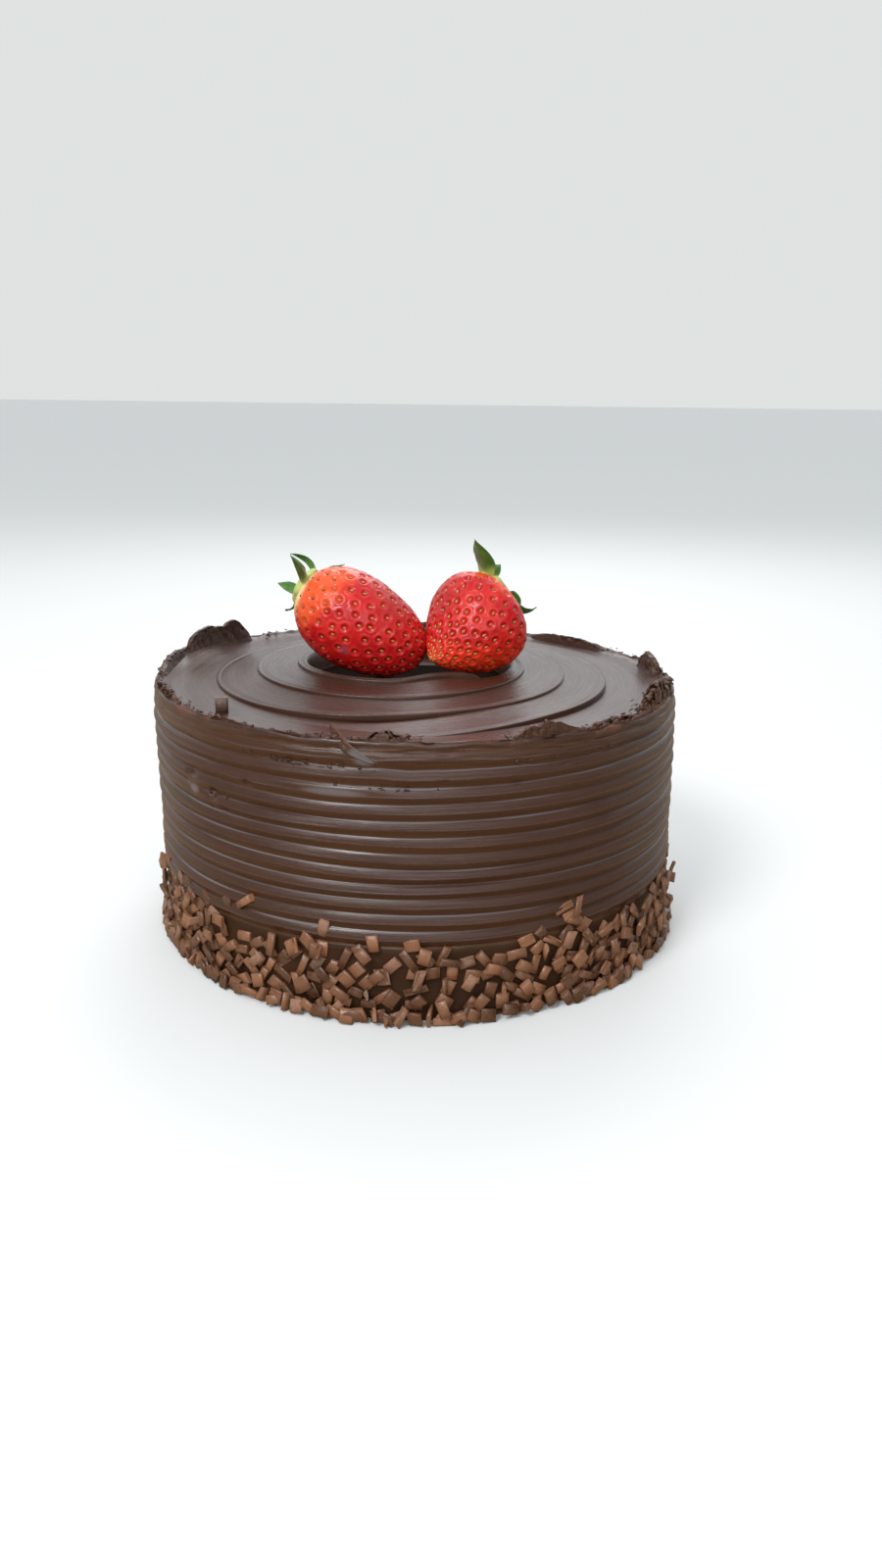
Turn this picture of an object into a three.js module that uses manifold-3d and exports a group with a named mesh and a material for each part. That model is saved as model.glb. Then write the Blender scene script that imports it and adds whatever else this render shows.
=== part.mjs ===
// Round chocolate cake coated in ganache, with two whole strawberries on top.
//
// Millimetres, +Z up, the origin at the middle of the foot and the front towards -Y.
// Angles round the cake are in degrees, counter-clockwise seen from above, 0 along +X
// and 270 at the front. The cake is one solid: combed side, torn rim, spatula swirl and
// the chocolate flakes that stick to it. Each berry and each calyx is a solid of its own.
import * as THREE from 'three';
import { mergeVertices } from 'three/addons/utils/BufferGeometryUtils.js';
import Module from 'manifold-3d';

// ---- Driving dimensions of the cake -----------------------------------------------
const CAKE_RADIUS = 100.6; // side, halfway between a crest and a valley of the comb
const RIM_HEIGHT = 98.6; // top edge above the foot
const TOP_LEAN = -1.4; // the top sits this far to the left of the foot
const FOOT_INSET = 1.4; // rounding of the foot's edge
const RIM_ROUND = 2.0; // rounding of the top edge
const RIM_BAND = 5.0; // width of the rim before it falls into the dish
const COLUMNS = 56; // facets round the cake

// Comb marks on the side
const RIDGE_PITCH = 5.62; // from one crest to the next
const RIDGE_DEPTH = 1.0; // crest to valley
const RIDGE_UNDERCUT = 1.7; // height of the short face under a crest
const RIDGE_LOWEST = 30.6; // the crest just above the flakes
const RIDGE_COUNT = 12;
const RIDGE_WAVE = 0.35; // slow rise and fall of a crest round the cake

// Top: a shallow dish with the swirl lying in it
const DISH_DEPTH = 1.9; // of the flat ring between the rim and the swirl
const WELL_DEPTH = 0.6; // floor under the berries, below the rim's height
const RIM_TILT = 1.5; // the rim is this much lower at the back right than in the middle
const RIM_TILT_TOWARDS = 45;

// Swirl: one spatula stroke, wound inwards counter-clockwise from the front
const SWIRL_CENTRE = new THREE.Vector2(-7.6, 2.0);
const SWIRL_START_RADIUS = 84.0;
const SWIRL_PITCH = 15.8; // inwards for each turn
const SWIRL_FLARE = 7.5; // extra radius where the stroke leaves the rim
const SWIRL_FIRST_TURN = -0.12;
const SWIRL_LAST_TURN = 3.16;
const SWIRL_STEPS = 84;
const SWIRL_LOWEST = -0.9; // of the outermost lip against the rim
const SWIRL_RISE = 0.075; // height gained for each millimetre inwards, at the start
const SWIRL_STEEPER = 0.0007; // growth of that rise towards the middle
const SWIRL_LIP = 1.5; // height of the step at the stroke's outer edge
const SWIRL_SAG = 0.45; // hollow of the band behind the lip
const SWIRL_TOE = 0.6; // the foot of the lip stands out this far
const SWIRL_CREST = 0.5; // and its crest lies this far in
const SWIRL_ROOT = 1.2; // of the stroke below the dish
const WELL_DROP = 4.2; // from the last lip to the floor of the well
const SWIRL_OVERLAP = 1.0; // of a band under the next lip
const SWIRL_NARROW = 5.0; // width of the stroke round the well
const SWIRL_NARROW_TURNS = [1.95, 2.25]; // where it narrows to that

// Torn ganache along the rim. mid, half: place and half width in degrees; rise: height
// over the rim; lean: how far the top edge leans in (+) or out (-); thick: at the root.
const RIM_TEARS = [
  { mid: 166.0, half: 7.5, rise: 10.0, lean: 3.0, thick: 5.0 },
  { mid: 156.5, half: 9.0, rise: 7.0, lean: 3.5, thick: 6.0 },
  { mid: 149.0, half: 7.5, rise: 8.8, lean: 3.5, thick: 5.5 },
  { mid: 179.0, half: 12.0, rise: 2.6, lean: 1.0, thick: 4.5 },
  { mid: 205.0, half: 8.0, rise: 2.6, lean: 0.5, thick: 3.5 },
  { mid: 232.5, half: 4.5, rise: 1.3, lean: -0.8, thick: 3.0 },
  { mid: 265.5, half: 4.0, rise: 1.7, lean: 0.5, thick: 4.0 },
  { mid: 297.0, half: 7.5, rise: 4.4, lean: 1.0, thick: 4.0 },
  { mid: 313.0, half: 8.0, rise: 1.6, lean: 1.5, thick: 3.5 },
  { mid: 334.0, half: 7.0, rise: 7.6, lean: 1.5, thick: 7.0 },
  { mid: 346.0, half: 8.0, rise: 4.2, lean: 1.0, thick: 6.0 },
  { mid: 11.0, half: 5.5, rise: 5.6, lean: 2.5, thick: 5.5 },
  { mid: 46.0, half: 12.0, rise: 2.4, lean: 2.0, thick: 4.0 },
  { mid: 92.0, half: 10.0, rise: 2.4, lean: 1.5, thick: 4.0 },
];
const TEAR_STEPS = 6; // facets along a tear
const TEAR_ROOT = 5.0; // how deep a tear is rooted in the rim

// A fin of ganache drawn out across the front of the rim
const FIN_FROM = { angle: 254.0, radius: 96.5, height: 4.6 };
const FIN_TO = { angle: 262.3, radius: 101.4, height: -7.2 };
const FIN_WIDTH = 3.0;

// ---- Chocolate flakes: short bars of a lens-shaped section ---------------------------
const FLAKE_LENGTH = 4.9;
const FLAKE_WIDTH = 4.4;
const FLAKE_THICKNESS = 1.9;
const FLAKE_COUNT = 137;
const FLAKE_SINK = 0.55; // how far a flake is pressed into the ganache
const FLAKE_PILE = 2.4; // most that flakes heaped at the foot stand out further
const FLAKE_PILE_HEIGHT = 16.0;
const FLAKE_BAND = 31.0; // height of the band of flakes
const FLAKE_BAND_WAVE = 3.5;
const FLAKE_REACH = 105.2; // outermost point of the flakes at the foot
const FLAKE_SEED = 4127;
const LONE_FLAKE = new THREE.Vector3(-68.2, -61.0, RIM_HEIGHT - DISH_DEPTH);

// ---- Berries. yaw and pitch turn the axis from the calyx to the tip, pitch downwards;
// taper and blunt shape the girth, bowUp and bowSide bend the axis in the middle, and
// calyxTilt moves the calyx off the axis, towards calyxTurn round it.
const BERRY_GAP = 0.35;
const BERRIES = {
  left: {
    centre: new THREE.Vector3(-22.1, -6.2, RIM_HEIGHT + 19.3),
    yaw: -8,
    pitch: 27,
    length: 54.2,
    width: 36.2,
    depth: 38.0,
    taper: 0.14,
    blunt: 0.92,
    bowUp: -0.3,
    bowSide: 0,
    calyxTilt: 8,
    calyxTurn: 60,
  },
  right: {
    centre: new THREE.Vector3(16.5, -7.0, RIM_HEIGHT + 19.75),
    yaw: -129.8,
    pitch: 29.5,
    length: 44.0,
    width: 39.1,
    depth: 41.4,
    taper: 0.54,
    blunt: 1.3,
    bowUp: -4.7,
    bowSide: 1.2,
    calyxTilt: 10,
    calyxTurn: 0,
  },
};
const BERRY_COLUMNS = 20;
const BERRY_ROWS = 12;
const BERRY_BUMP = 0.018; // unevenness as a share of the radius

// ---- Calyxes. turn: round the berry's axis from its upper side, to the back of the left
// berry and to the right of the right one; lift: above (+) or below the plane across the
// axis, at the sepal's root and at its tip.
const HUB_RADIUS = 7.0;
const HUB_THICKNESS = 2.9;
const SEPAL_ROOT = 5.7; // from the middle of the hub to a sepal's root
const SEPAL_DROP = 1.2; // the roots lie this much below the hub's middle, on the shoulder
const SEPAL_THICKNESS = 0.7;
const SEPALS = {
  left: [
    { turn: 60, length: 18.0, width: 4.8, liftRoot: 6, liftTip: 142 },
    { turn: -58, length: 18.4, width: 4.4, liftRoot: -13, liftTip: 47 },
    { turn: 132, length: 13.9, width: 5.0, liftRoot: 57, liftTip: 70 },
    { turn: 181, length: 8.0, width: 3.2, liftRoot: -29, liftTip: 61 },
    { turn: 31, length: 12.7, width: 2.6, liftRoot: -42, liftTip: -28 },
    { turn: 98, length: 11.0, width: 5.0, liftRoot: 0, liftTip: -24 },
  ],
  right: [
    { turn: 6, length: 18.0, width: 7.4, liftRoot: 3, liftTip: 6 },
    { turn: 30, length: 7.0, width: 4.0, liftRoot: 32, liftTip: 130 },
    { turn: 196, length: 12.0, width: 5.0, liftRoot: 0, liftTip: -30 },
    { turn: 150, length: 13.5, width: 5.2, liftRoot: 96, liftTip: -64 },
    { turn: 144, length: 19.5, width: 6.0, liftRoot: -42, liftTip: 104 },
  ],
};
const SEPAL_STEPS = 4;

// ---- Helpers -----------------------------------------------------------------------
const wasm = await Module();
wasm.setup();

const radians = THREE.MathUtils.degToRad;
const { lerp, smoothstep } = THREE.MathUtils;

/** Seeded random numbers between 0 and 1. */
function randomFrom(seed) {
  let state = seed;
  return () => {
    state = (state + 0x6d2b79f5) | 0;
    let mixed = Math.imul(state ^ (state >>> 15), 1 | state);
    mixed = (mixed + Math.imul(mixed ^ (mixed >>> 7), 61 | mixed)) ^ mixed;
    return ((mixed ^ (mixed >>> 14)) >>> 0) / 4294967296;
  };
}

/** Keeps only the positions of a geometry and merges the vertices that meet. */
function welded(geometry) {
  const copy = geometry.clone();
  for (const name of Object.keys(copy.attributes)) {
    if (name !== 'position') copy.deleteAttribute(name);
  }
  return mergeVertices(copy, 1e-4);
}

/** Moves every vertex of a geometry by place(vertex). */
function reshaped(geometry, place) {
  const position = geometry.attributes.position;
  const vertex = new THREE.Vector3();
  for (let i = 0; i < position.count; i += 1) {
    vertex.fromBufferAttribute(position, i);
    place(vertex);
    position.setXYZ(i, vertex.x, vertex.y, vertex.z);
  }
  return geometry;
}

function toSolid(geometry) {
  const closed = welded(geometry);
  return new wasm.Manifold(
    new wasm.Mesh({
      numProp: 3,
      vertProperties: new Float32Array(closed.attributes.position.array),
      triVerts: new Uint32Array(closed.index.array),
    }),
  );
}

function toGeometry(solid) {
  const mesh = solid.getMesh();
  const geometry = new THREE.BufferGeometry();
  geometry.setAttribute('position', new THREE.BufferAttribute(mesh.vertProperties, 3));
  geometry.setIndex(new THREE.BufferAttribute(mesh.triVerts, 1));
  return geometry;
}

/** A point from an angle round the cake's axis, a radius and a height. */
function polar(angle, radius, height) {
  const lean = TOP_LEAN * (height / RIM_HEIGHT);
  const turn = radians(angle);
  return new THREE.Vector3(radius * Math.cos(turn) + lean, radius * Math.sin(turn), height);
}

// ---- Cake body ---------------------------------------------------------------------
/** Height of the rim: lower at the back right, higher at the front left. */
function rimHeight(angle) {
  return RIM_HEIGHT - RIM_TILT * (0.5 + Math.cos(radians(angle - RIM_TILT_TOWARDS)));
}

/** Slow waves of a comb mark, which differ a little from one to the next. */
function ridgeWave(angle, height) {
  const turn = radians(angle);
  return RIDGE_WAVE * (Math.sin(2 * turn + height * 0.11) + 0.6 * Math.sin(5 * turn - height * 0.23));
}

/** Rows of the body from the foot to the middle of the top, as [radius, height]. */
function bodyProfile() {
  const rows = [
    [0, 0],
    [CAKE_RADIUS - FOOT_INSET, 0],
    [CAKE_RADIUS, FOOT_INSET],
    [CAKE_RADIUS, RIDGE_LOWEST / 3],
    [CAKE_RADIUS, RIDGE_LOWEST * 2 / 3],
    [CAKE_RADIUS - RIDGE_DEPTH / 2, RIDGE_LOWEST - RIDGE_UNDERCUT],
  ];
  for (let i = 0; i < RIDGE_COUNT; i += 1) {
    const crest = RIDGE_LOWEST + i * RIDGE_PITCH;
    rows.push([CAKE_RADIUS + RIDGE_DEPTH / 2, crest]);
    rows.push([CAKE_RADIUS - RIDGE_DEPTH / 2, crest + RIDGE_PITCH - RIDGE_UNDERCUT]);
  }
  rows.push([CAKE_RADIUS - RIM_ROUND * 0.1, RIM_HEIGHT - RIM_ROUND * 0.6]);
  rows.push([CAKE_RADIUS - RIM_ROUND, RIM_HEIGHT]);
  rows.push([CAKE_RADIUS - RIM_BAND, RIM_HEIGHT - DISH_DEPTH * 0.2]);
  rows.push([CAKE_RADIUS - RIM_BAND * 2, RIM_HEIGHT - DISH_DEPTH]);
  rows.push([SWIRL_START_RADIUS - RIM_BAND, RIM_HEIGHT - DISH_DEPTH]);
  rows.push([SWIRL_START_RADIUS - SWIRL_PITCH * 2, RIM_HEIGHT - WELL_DEPTH]);
  rows.push([0, RIM_HEIGHT - WELL_DEPTH]);
  return rows;
}

/** Lathe of the profile, then waved along the comb marks and tilted at the rim. */
function cakeBody() {
  const combTop = RIM_HEIGHT - 2 * RIDGE_PITCH;
  const topEdge = CAKE_RADIUS - RIM_BAND;
  const rows = bodyProfile();
  const points = rows.map(([radius, height]) => new THREE.Vector2(radius, height));
  const lathe = welded(new THREE.LatheGeometry(points, COLUMNS));
  reshaped(lathe, (vertex) => {
    const radius = Math.hypot(vertex.x, vertex.z);
    const angle = THREE.MathUtils.radToDeg(Math.atan2(-vertex.z, vertex.x));
    const height = vertex.y;
    const outside = smoothstep(radius, SWIRL_START_RADIUS, topEdge);
    const combed = smoothstep(height, RIDGE_LOWEST * 0.7, RIDGE_LOWEST);
    const atRim = smoothstep(height, combTop, RIM_HEIGHT);
    const lift = combed * ridgeWave(angle, height) + atRim * (rimHeight(angle) - RIM_HEIGHT);
    vertex.copy(polar(angle, radius, height + outside * lift));
  });
  return toSolid(lathe);
}

// ---- Swirl -------------------------------------------------------------------------
function swirlRadius(turn) {
  const flare = SWIRL_FLARE * (1 - smoothstep(turn, -0.02, 0.12));
  return SWIRL_START_RADIUS - SWIRL_PITCH * turn + flare;
}

/** The stroke is a long box wound into a spiral: x runs along it, y across, z up. */
function swirlBand() {
  const box = new THREE.BoxGeometry(1, 1, 1, SWIRL_STEPS, 3, 1);
  reshaped(box, (vertex) => {
    const turn = lerp(SWIRL_FIRST_TURN, SWIRL_LAST_TURN, vertex.x + 0.5);
    const across = vertex.y + 0.5;
    const isTop = vertex.z > 0;
    const ends = smoothstep(turn, SWIRL_FIRST_TURN, 0.06)
      * (1 - smoothstep(turn, SWIRL_LAST_TURN - 0.2, SWIRL_LAST_TURN));
    const narrowing = smoothstep(turn, ...SWIRL_NARROW_TURNS);
    const width = lerp(SWIRL_PITCH + SWIRL_OVERLAP, SWIRL_NARROW, narrowing);
    const place = Math.round(across * 3);
    const stepIn = [-SWIRL_TOE, SWIRL_CREST, width / 2, width][place];
    const sag = [SWIRL_LIP, 0, SWIRL_SAG, lerp(0.3, WELL_DROP, narrowing)][place];
    const inwards = Math.max(0, SWIRL_START_RADIUS - swirlRadius(turn));
    const lipHeight = SWIRL_LOWEST + SWIRL_RISE * inwards + SWIRL_STEEPER * inwards ** 2;
    const base = -DISH_DEPTH - SWIRL_ROOT;
    const top = lerp(base + 0.4, lipHeight - sag, ends);
    const radius = swirlRadius(turn) - stepIn;
    const angle = radians(270 + 360 * turn);
    vertex.set(
      SWIRL_CENTRE.x + radius * Math.cos(angle),
      SWIRL_CENTRE.y + radius * Math.sin(angle),
      RIM_HEIGHT + (isTop ? top : base),
    );
  });
  return toSolid(box);
}

// ---- Torn rim ----------------------------------------------------------------------
/** A tear is a box bent along the rim; its top edge is a ragged hump that leans. */
function rimTear({ mid, half, rise, lean, thick }, index) {
  const box = new THREE.BoxGeometry(1, 1, 1, TEAR_STEPS, 1, 1);
  reshaped(box, (vertex) => {
    const along = vertex.x * 2;
    const angle = mid + half * along;
    const hump = Math.cos((along * Math.PI) / 2) ** 0.7;
    const ragged = 1 + 0.16 * Math.sin(9 * along + index * 1.9);
    const up = vertex.z + 0.5;
    const height = lerp(-TEAR_ROOT, rise * hump * ragged, up);
    const inward = lean * up * up * hump + (0.5 + vertex.y) * thick * lerp(1, 0.35, up);
    vertex.copy(polar(angle, CAKE_RADIUS - 1.2 - inward, rimHeight(angle) + height));
  });
  return toSolid(box);
}

/** The drawn-out fin: a thin bar, widest in the middle, from inside the rim down the side. */
function rimFin() {
  const box = new THREE.BoxGeometry(1, 1, 1, 5, 1, 1);
  reshaped(box, (vertex) => {
    const along = vertex.x + 0.5;
    const angle = lerp(FIN_FROM.angle, FIN_TO.angle, along);
    const width = FIN_WIDTH * (0.25 + 0.75 * Math.sin(Math.PI * Math.min(1, along + 0.1)));
    const radius = lerp(FIN_FROM.radius, FIN_TO.radius, Math.sqrt(along)) + vertex.z * 1.6;
    const height = lerp(FIN_FROM.height, FIN_TO.height, along) + vertex.y * width;
    vertex.copy(polar(angle, radius, RIM_HEIGHT + height));
  });
  return toSolid(box);
}

// ---- Flakes ------------------------------------------------------------------------
/** A flake lies in its own frame: x along the bar, y across, z through its thickness. */
function flakeGeometry(length, width, thickness) {
  const section = new THREE.Shape();
  section.moveTo(-width / 2, -thickness / 2);
  section.lineTo(width / 2, -thickness / 2);
  section.lineTo(width * 0.36, thickness / 2);
  section.lineTo(-width * 0.36, thickness / 2);
  section.closePath();
  const bar = new THREE.ExtrudeGeometry(section, { depth: length, steps: 1, bevelEnabled: false });
  bar.translate(0, 0, -length / 2);
  bar.rotateX(Math.PI / 2);
  bar.rotateZ(Math.PI / 2);
  return bar;
}

/** Spins a flake, turns its flat side to face along normal and sets it no lower than the foot. */
function placedFlake(geometry, centre, normal, spin) {
  const facing = new THREE.Quaternion().setFromUnitVectors(new THREE.Vector3(0, 0, 1), normal);
  const placed = geometry.clone().rotateZ(spin).applyQuaternion(facing);
  placed.translate(centre.x, centre.y, centre.z);
  placed.computeBoundingBox();
  placed.translate(0, 0, Math.max(0, -placed.boundingBox.min.z));
  return toSolid(placed);
}

/** Flakes spread evenly round the cake, and closer together towards the foot. */
function flakes() {
  const random = randomFrom(FLAKE_SEED);
  const solids = [];
  const golden = 360 * 0.6180339887;
  for (let i = 0; i < FLAKE_COUNT; i += 1) {
    const angle = i * golden + (random() - 0.5) * 4;
    const band = FLAKE_BAND + FLAKE_BAND_WAVE * Math.sin(radians(3 * angle + 40));
    const height = lerp(2.7, band, ((i + 0.5) / FLAKE_COUNT) ** 1.25);
    const length = FLAKE_LENGTH * lerp(0.9, 1.3, random() ** 2);
    const width = FLAKE_WIDTH * lerp(0.85, 1.05, random());
    const tilt = radians(lerp(-14, 14, random()));
    const spin = random() * Math.PI;
    const turn = radians(angle);
    const normal = new THREE.Vector3(
      Math.cos(turn) * Math.cos(tilt),
      Math.sin(turn) * Math.cos(tilt),
      Math.sin(tilt),
    ).normalize();
    const heaped = 1 - smoothstep(height, 3, FLAKE_PILE_HEIGHT);
    const thickness = FLAKE_THICKNESS + FLAKE_PILE * heaped * random();
    const out = thickness / 2 - FLAKE_SINK - random() * 0.4;
    const centre = polar(angle, CAKE_RADIUS + out, height);
    solids.push(placedFlake(flakeGeometry(length, width, thickness), centre, normal, spin));
  }
  return solids;
}

/** Four flakes flat against the foot set how far the band reaches on each side. */
function footFlakes() {
  const reach = FLAKE_REACH - CAKE_RADIUS + FLAKE_SINK;
  return [0, 90, 180, 270].map((angle) => {
    const turn = radians(angle);
    const normal = new THREE.Vector3(Math.cos(turn), Math.sin(turn), 0);
    const bar = flakeGeometry(FLAKE_LENGTH, FLAKE_WIDTH, reach);
    const out = FLAKE_REACH - reach / 2;
    const centre = new THREE.Vector3(normal.x * out, normal.y * out, FLAKE_WIDTH / 2);
    return placedFlake(bar, centre, normal, 0);
  });
}

/** One flake stands on its long edge on the top, near the front left. */
function loneFlake() {
  const facing = new THREE.Vector3(0.12, -1, 0).normalize();
  const centre = LONE_FLAKE.clone().setZ(LONE_FLAKE.z + FLAKE_LENGTH / 2 + 0.2);
  const bar = flakeGeometry(FLAKE_LENGTH * 1.25, FLAKE_WIDTH, FLAKE_THICKNESS);
  return placedFlake(bar, centre, facing, Math.PI / 2);
}

// ---- Berries -----------------------------------------------------------------------
/** Directions of a berry: along from calyx to tip, side across it level, up across it. */
function berryFrame({ yaw, pitch }) {
  const [turn, dip] = [radians(yaw), radians(pitch)];
  const along = new THREE.Vector3(
    Math.cos(dip) * Math.cos(turn),
    Math.cos(dip) * Math.sin(turn),
    -Math.sin(dip),
  );
  const side = new THREE.Vector3(-Math.sin(turn), Math.cos(turn), 0);
  const up = new THREE.Vector3().crossVectors(along, side);
  return { along, side, up };
}

/** Radius across the axis at an angle from the calyx end, 1 at the widest place. */
function berryGirth({ taper, blunt }, fromCalyx) {
  const girth = (angle) => Math.sin(angle) ** blunt * (1 + taper * Math.cos(angle));
  let widest = 0;
  for (let i = 1; i < 60; i += 1) widest = Math.max(widest, girth((Math.PI * i) / 60));
  return girth(fromCalyx) / widest;
}

function berryPoint(berry, fromCalyx, around, grow = 0) {
  const { along, side, up } = berryFrame(berry);
  const bump = 1 + BERRY_BUMP * Math.sin(3 * around + 2 * fromCalyx) * Math.sin(fromCalyx);
  const girth = Math.max(0, berryGirth(berry, fromCalyx)) * bump;
  const bow = Math.sin(fromCalyx) ** 2;
  return berry.centre
    .clone()
    .addScaledVector(along, -(berry.length / 2 + grow) * Math.cos(fromCalyx))
    .addScaledVector(up, (berry.width / 2 + grow) * girth * Math.cos(around) + berry.bowUp * bow)
    .addScaledVector(side, (berry.depth / 2 + grow) * girth * Math.sin(around) + berry.bowSide * bow);
}

/** A sphere whose rows from pole to pole become rows from the calyx to the tip. */
function berryGeometry(berry, grow = 0) {
  const sphere = welded(new THREE.SphereGeometry(1, BERRY_COLUMNS, BERRY_ROWS));
  return reshaped(sphere, (vertex) => {
    const fromCalyx = Math.acos(THREE.MathUtils.clamp(vertex.y, -1, 1));
    const around = Math.atan2(-vertex.z, vertex.x);
    vertex.copy(berryPoint(berry, fromCalyx, around, grow));
  });
}

// ---- Calyxes -----------------------------------------------------------------------
/** Where the calyx sits on the berry, with its outward direction. */
function calyxFrame(berry) {
  const frame = berryFrame(berry);
  const [tilt, turn] = [radians(berry.calyxTilt), radians(berry.calyxTurn)];
  const aside = frame.up.clone().multiplyScalar(Math.cos(turn)).addScaledVector(frame.side, Math.sin(turn));
  const out = frame.along.clone().multiplyScalar(-Math.cos(tilt)).addScaledVector(aside, Math.sin(tilt));
  const side = new THREE.Vector3().crossVectors(out, frame.up).normalize();
  const radial = new THREE.Vector3().crossVectors(side, out);
  const root = berryPoint(berry, tilt, turn).addScaledVector(out, BERRY_GAP + SEPAL_THICKNESS);
  return { out, radial, side, root };
}

/** A thin sheet given as rows of points; both faces are split along the same diagonals. */
function thickSheet(columns, rows, pointAt, normalAt, thickness) {
  const face = new THREE.PlaneGeometry(1, 1, columns, rows);
  const [corner, index] = [face.attributes.uv, face.index.array];
  const count = corner.count;
  const positions = [];
  for (const sign of [0.5, -0.5]) {
    for (let i = 0; i < count; i += 1) {
      const [u, v] = [corner.getX(i), corner.getY(i)];
      const point = pointAt(u, v).addScaledVector(normalAt(u, v), sign * thickness);
      positions.push(point.x, point.y, point.z);
    }
  }
  const triangles = Array.from(index);
  for (let i = 0; i < index.length; i += 3) {
    triangles.push(index[i] + count, index[i + 2] + count, index[i + 1] + count);
  }
  const wall = (a, b) => triangles.push(b, a, a + count, b, a + count, b + count);
  const at = (column, row) => row * (columns + 1) + column;
  for (let i = 0; i < columns; i += 1) {
    wall(at(i + 1, 0), at(i, 0));
    wall(at(i, rows), at(i + 1, rows));
  }
  for (let j = 0; j < rows; j += 1) {
    wall(at(0, j), at(0, j + 1));
    wall(at(columns, j + 1), at(columns, j));
  }
  const geometry = new THREE.BufferGeometry();
  geometry.setAttribute('position', new THREE.Float32BufferAttribute(positions, 3));
  geometry.setIndex(triangles);
  return geometry;
}

/** A sepal bends evenly from its lift at the root to its lift at the tip. */
function sepal(frame, { turn, length, width, liftRoot, liftTip }) {
  const around = radians(turn);
  const outward = frame.radial
    .clone()
    .multiplyScalar(Math.cos(around))
    .addScaledVector(frame.side, Math.sin(around));
  const across = new THREE.Vector3().crossVectors(outward, frame.out);
  const lift = (v) => radians(lerp(liftRoot, liftTip, v));
  const spine = (v) => {
    const point = frame.root
      .clone()
      .addScaledVector(outward, SEPAL_ROOT)
      .addScaledVector(frame.out, -SEPAL_DROP);
    const steps = 12;
    for (let i = 0; i < steps; i += 1) {
      const angle = lift((v * (i + 0.5)) / steps);
      point.addScaledVector(outward, (Math.cos(angle) * length * v) / steps);
      point.addScaledVector(frame.out, (Math.sin(angle) * length * v) / steps);
    }
    return point;
  };
  const normalAt = (u, v) => {
    const angle = lift(v);
    return frame.out.clone().multiplyScalar(Math.cos(angle)).addScaledVector(outward, -Math.sin(angle));
  };
  const halfWidth = (v) => (width / 2) * Math.max(0.12, Math.sin(Math.PI * lerp(0.22, 1, v)) ** 0.8);
  const pointAt = (u, v) => spine(v)
    .addScaledVector(across, (u - 0.5) * 2 * halfWidth(v))
    .addScaledVector(normalAt(u, v), 0.5 * Math.abs(u - 0.5) * Math.sin(Math.PI * v));
  return toSolid(thickSheet(2, SEPAL_STEPS, pointAt, normalAt, SEPAL_THICKNESS));
}

function calyxSolid(berry, sepals) {
  const frame = calyxFrame(berry);
  const hub = new THREE.CylinderGeometry(HUB_RADIUS * 0.66, HUB_RADIUS, HUB_THICKNESS, 10);
  hub.translate(0, SEPAL_THICKNESS - HUB_THICKNESS / 2, 0);
  const facing = new THREE.Quaternion().setFromUnitVectors(new THREE.Vector3(0, 1, 0), frame.out);
  hub.applyQuaternion(facing);
  hub.translate(frame.root.x, frame.root.y, frame.root.z);
  return sepals.reduce((whole, spec) => whole.add(sepal(frame, spec)), toSolid(hub));
}

// ---- The whole ---------------------------------------------------------------------
const group = new THREE.Group();

function addMesh(name, geometry, color, roughness) {
  const material = new THREE.MeshStandardMaterial({ color, roughness, metalness: 0 });
  const mesh = new THREE.Mesh(geometry, material);
  mesh.name = name;
  group.add(mesh);
}

let cake = cakeBody().add(swirlBand()).add(rimFin()).add(loneFlake());
RIM_TEARS.forEach((tear, index) => {
  cake = cake.add(rimTear(tear, index));
});
for (const flake of [...flakes(), ...footFlakes()]) cake = cake.add(flake);

for (const [side, berry] of Object.entries(BERRIES)) {
  const room = toSolid(berryGeometry(berry, BERRY_GAP));
  cake = cake.subtract(room);
  addMesh(`strawberry_${side}`, berryGeometry(berry), 0xc01818, 0.35);
  const calyx = calyxSolid(berry, SEPALS[side]).subtract(room);
  addMesh(`calyx_${side}`, toGeometry(calyx), 0x3c6a30, 0.6);
}
addMesh('cake', toGeometry(cake), 0x3f2a22, 0.4);

export default group;
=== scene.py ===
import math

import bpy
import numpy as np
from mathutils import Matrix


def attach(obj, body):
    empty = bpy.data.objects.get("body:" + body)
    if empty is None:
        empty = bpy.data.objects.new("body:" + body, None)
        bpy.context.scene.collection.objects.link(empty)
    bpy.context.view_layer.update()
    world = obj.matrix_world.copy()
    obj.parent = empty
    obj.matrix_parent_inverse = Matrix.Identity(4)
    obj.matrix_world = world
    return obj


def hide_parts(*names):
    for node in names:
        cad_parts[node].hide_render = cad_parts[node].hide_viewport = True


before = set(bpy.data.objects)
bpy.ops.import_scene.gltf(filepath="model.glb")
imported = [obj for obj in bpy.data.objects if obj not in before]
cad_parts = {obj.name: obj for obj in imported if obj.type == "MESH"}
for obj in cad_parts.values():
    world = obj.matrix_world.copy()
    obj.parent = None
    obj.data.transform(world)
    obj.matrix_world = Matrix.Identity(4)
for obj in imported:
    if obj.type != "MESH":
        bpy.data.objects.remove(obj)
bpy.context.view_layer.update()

# A tall round chocolate cake: combed ganache side, torn rim, spatula swirl on the top, a band of
# chocolate flakes round the foot and two whole strawberries on the middle.
#
# Lengths are worked out in millimetres and put into the meshes in metres. +Z is up, the front is
# -Y and the origin is the middle of the foot. Angles round the cake are in degrees,
# counter-clockwise seen from above, 0 along +X and 270 at the front.

MM = 0.001
BODY = "root"
# Values of points that are vectors; the others are numbers
VECTOR_VALUES = ("stroke", "grain")

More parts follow.
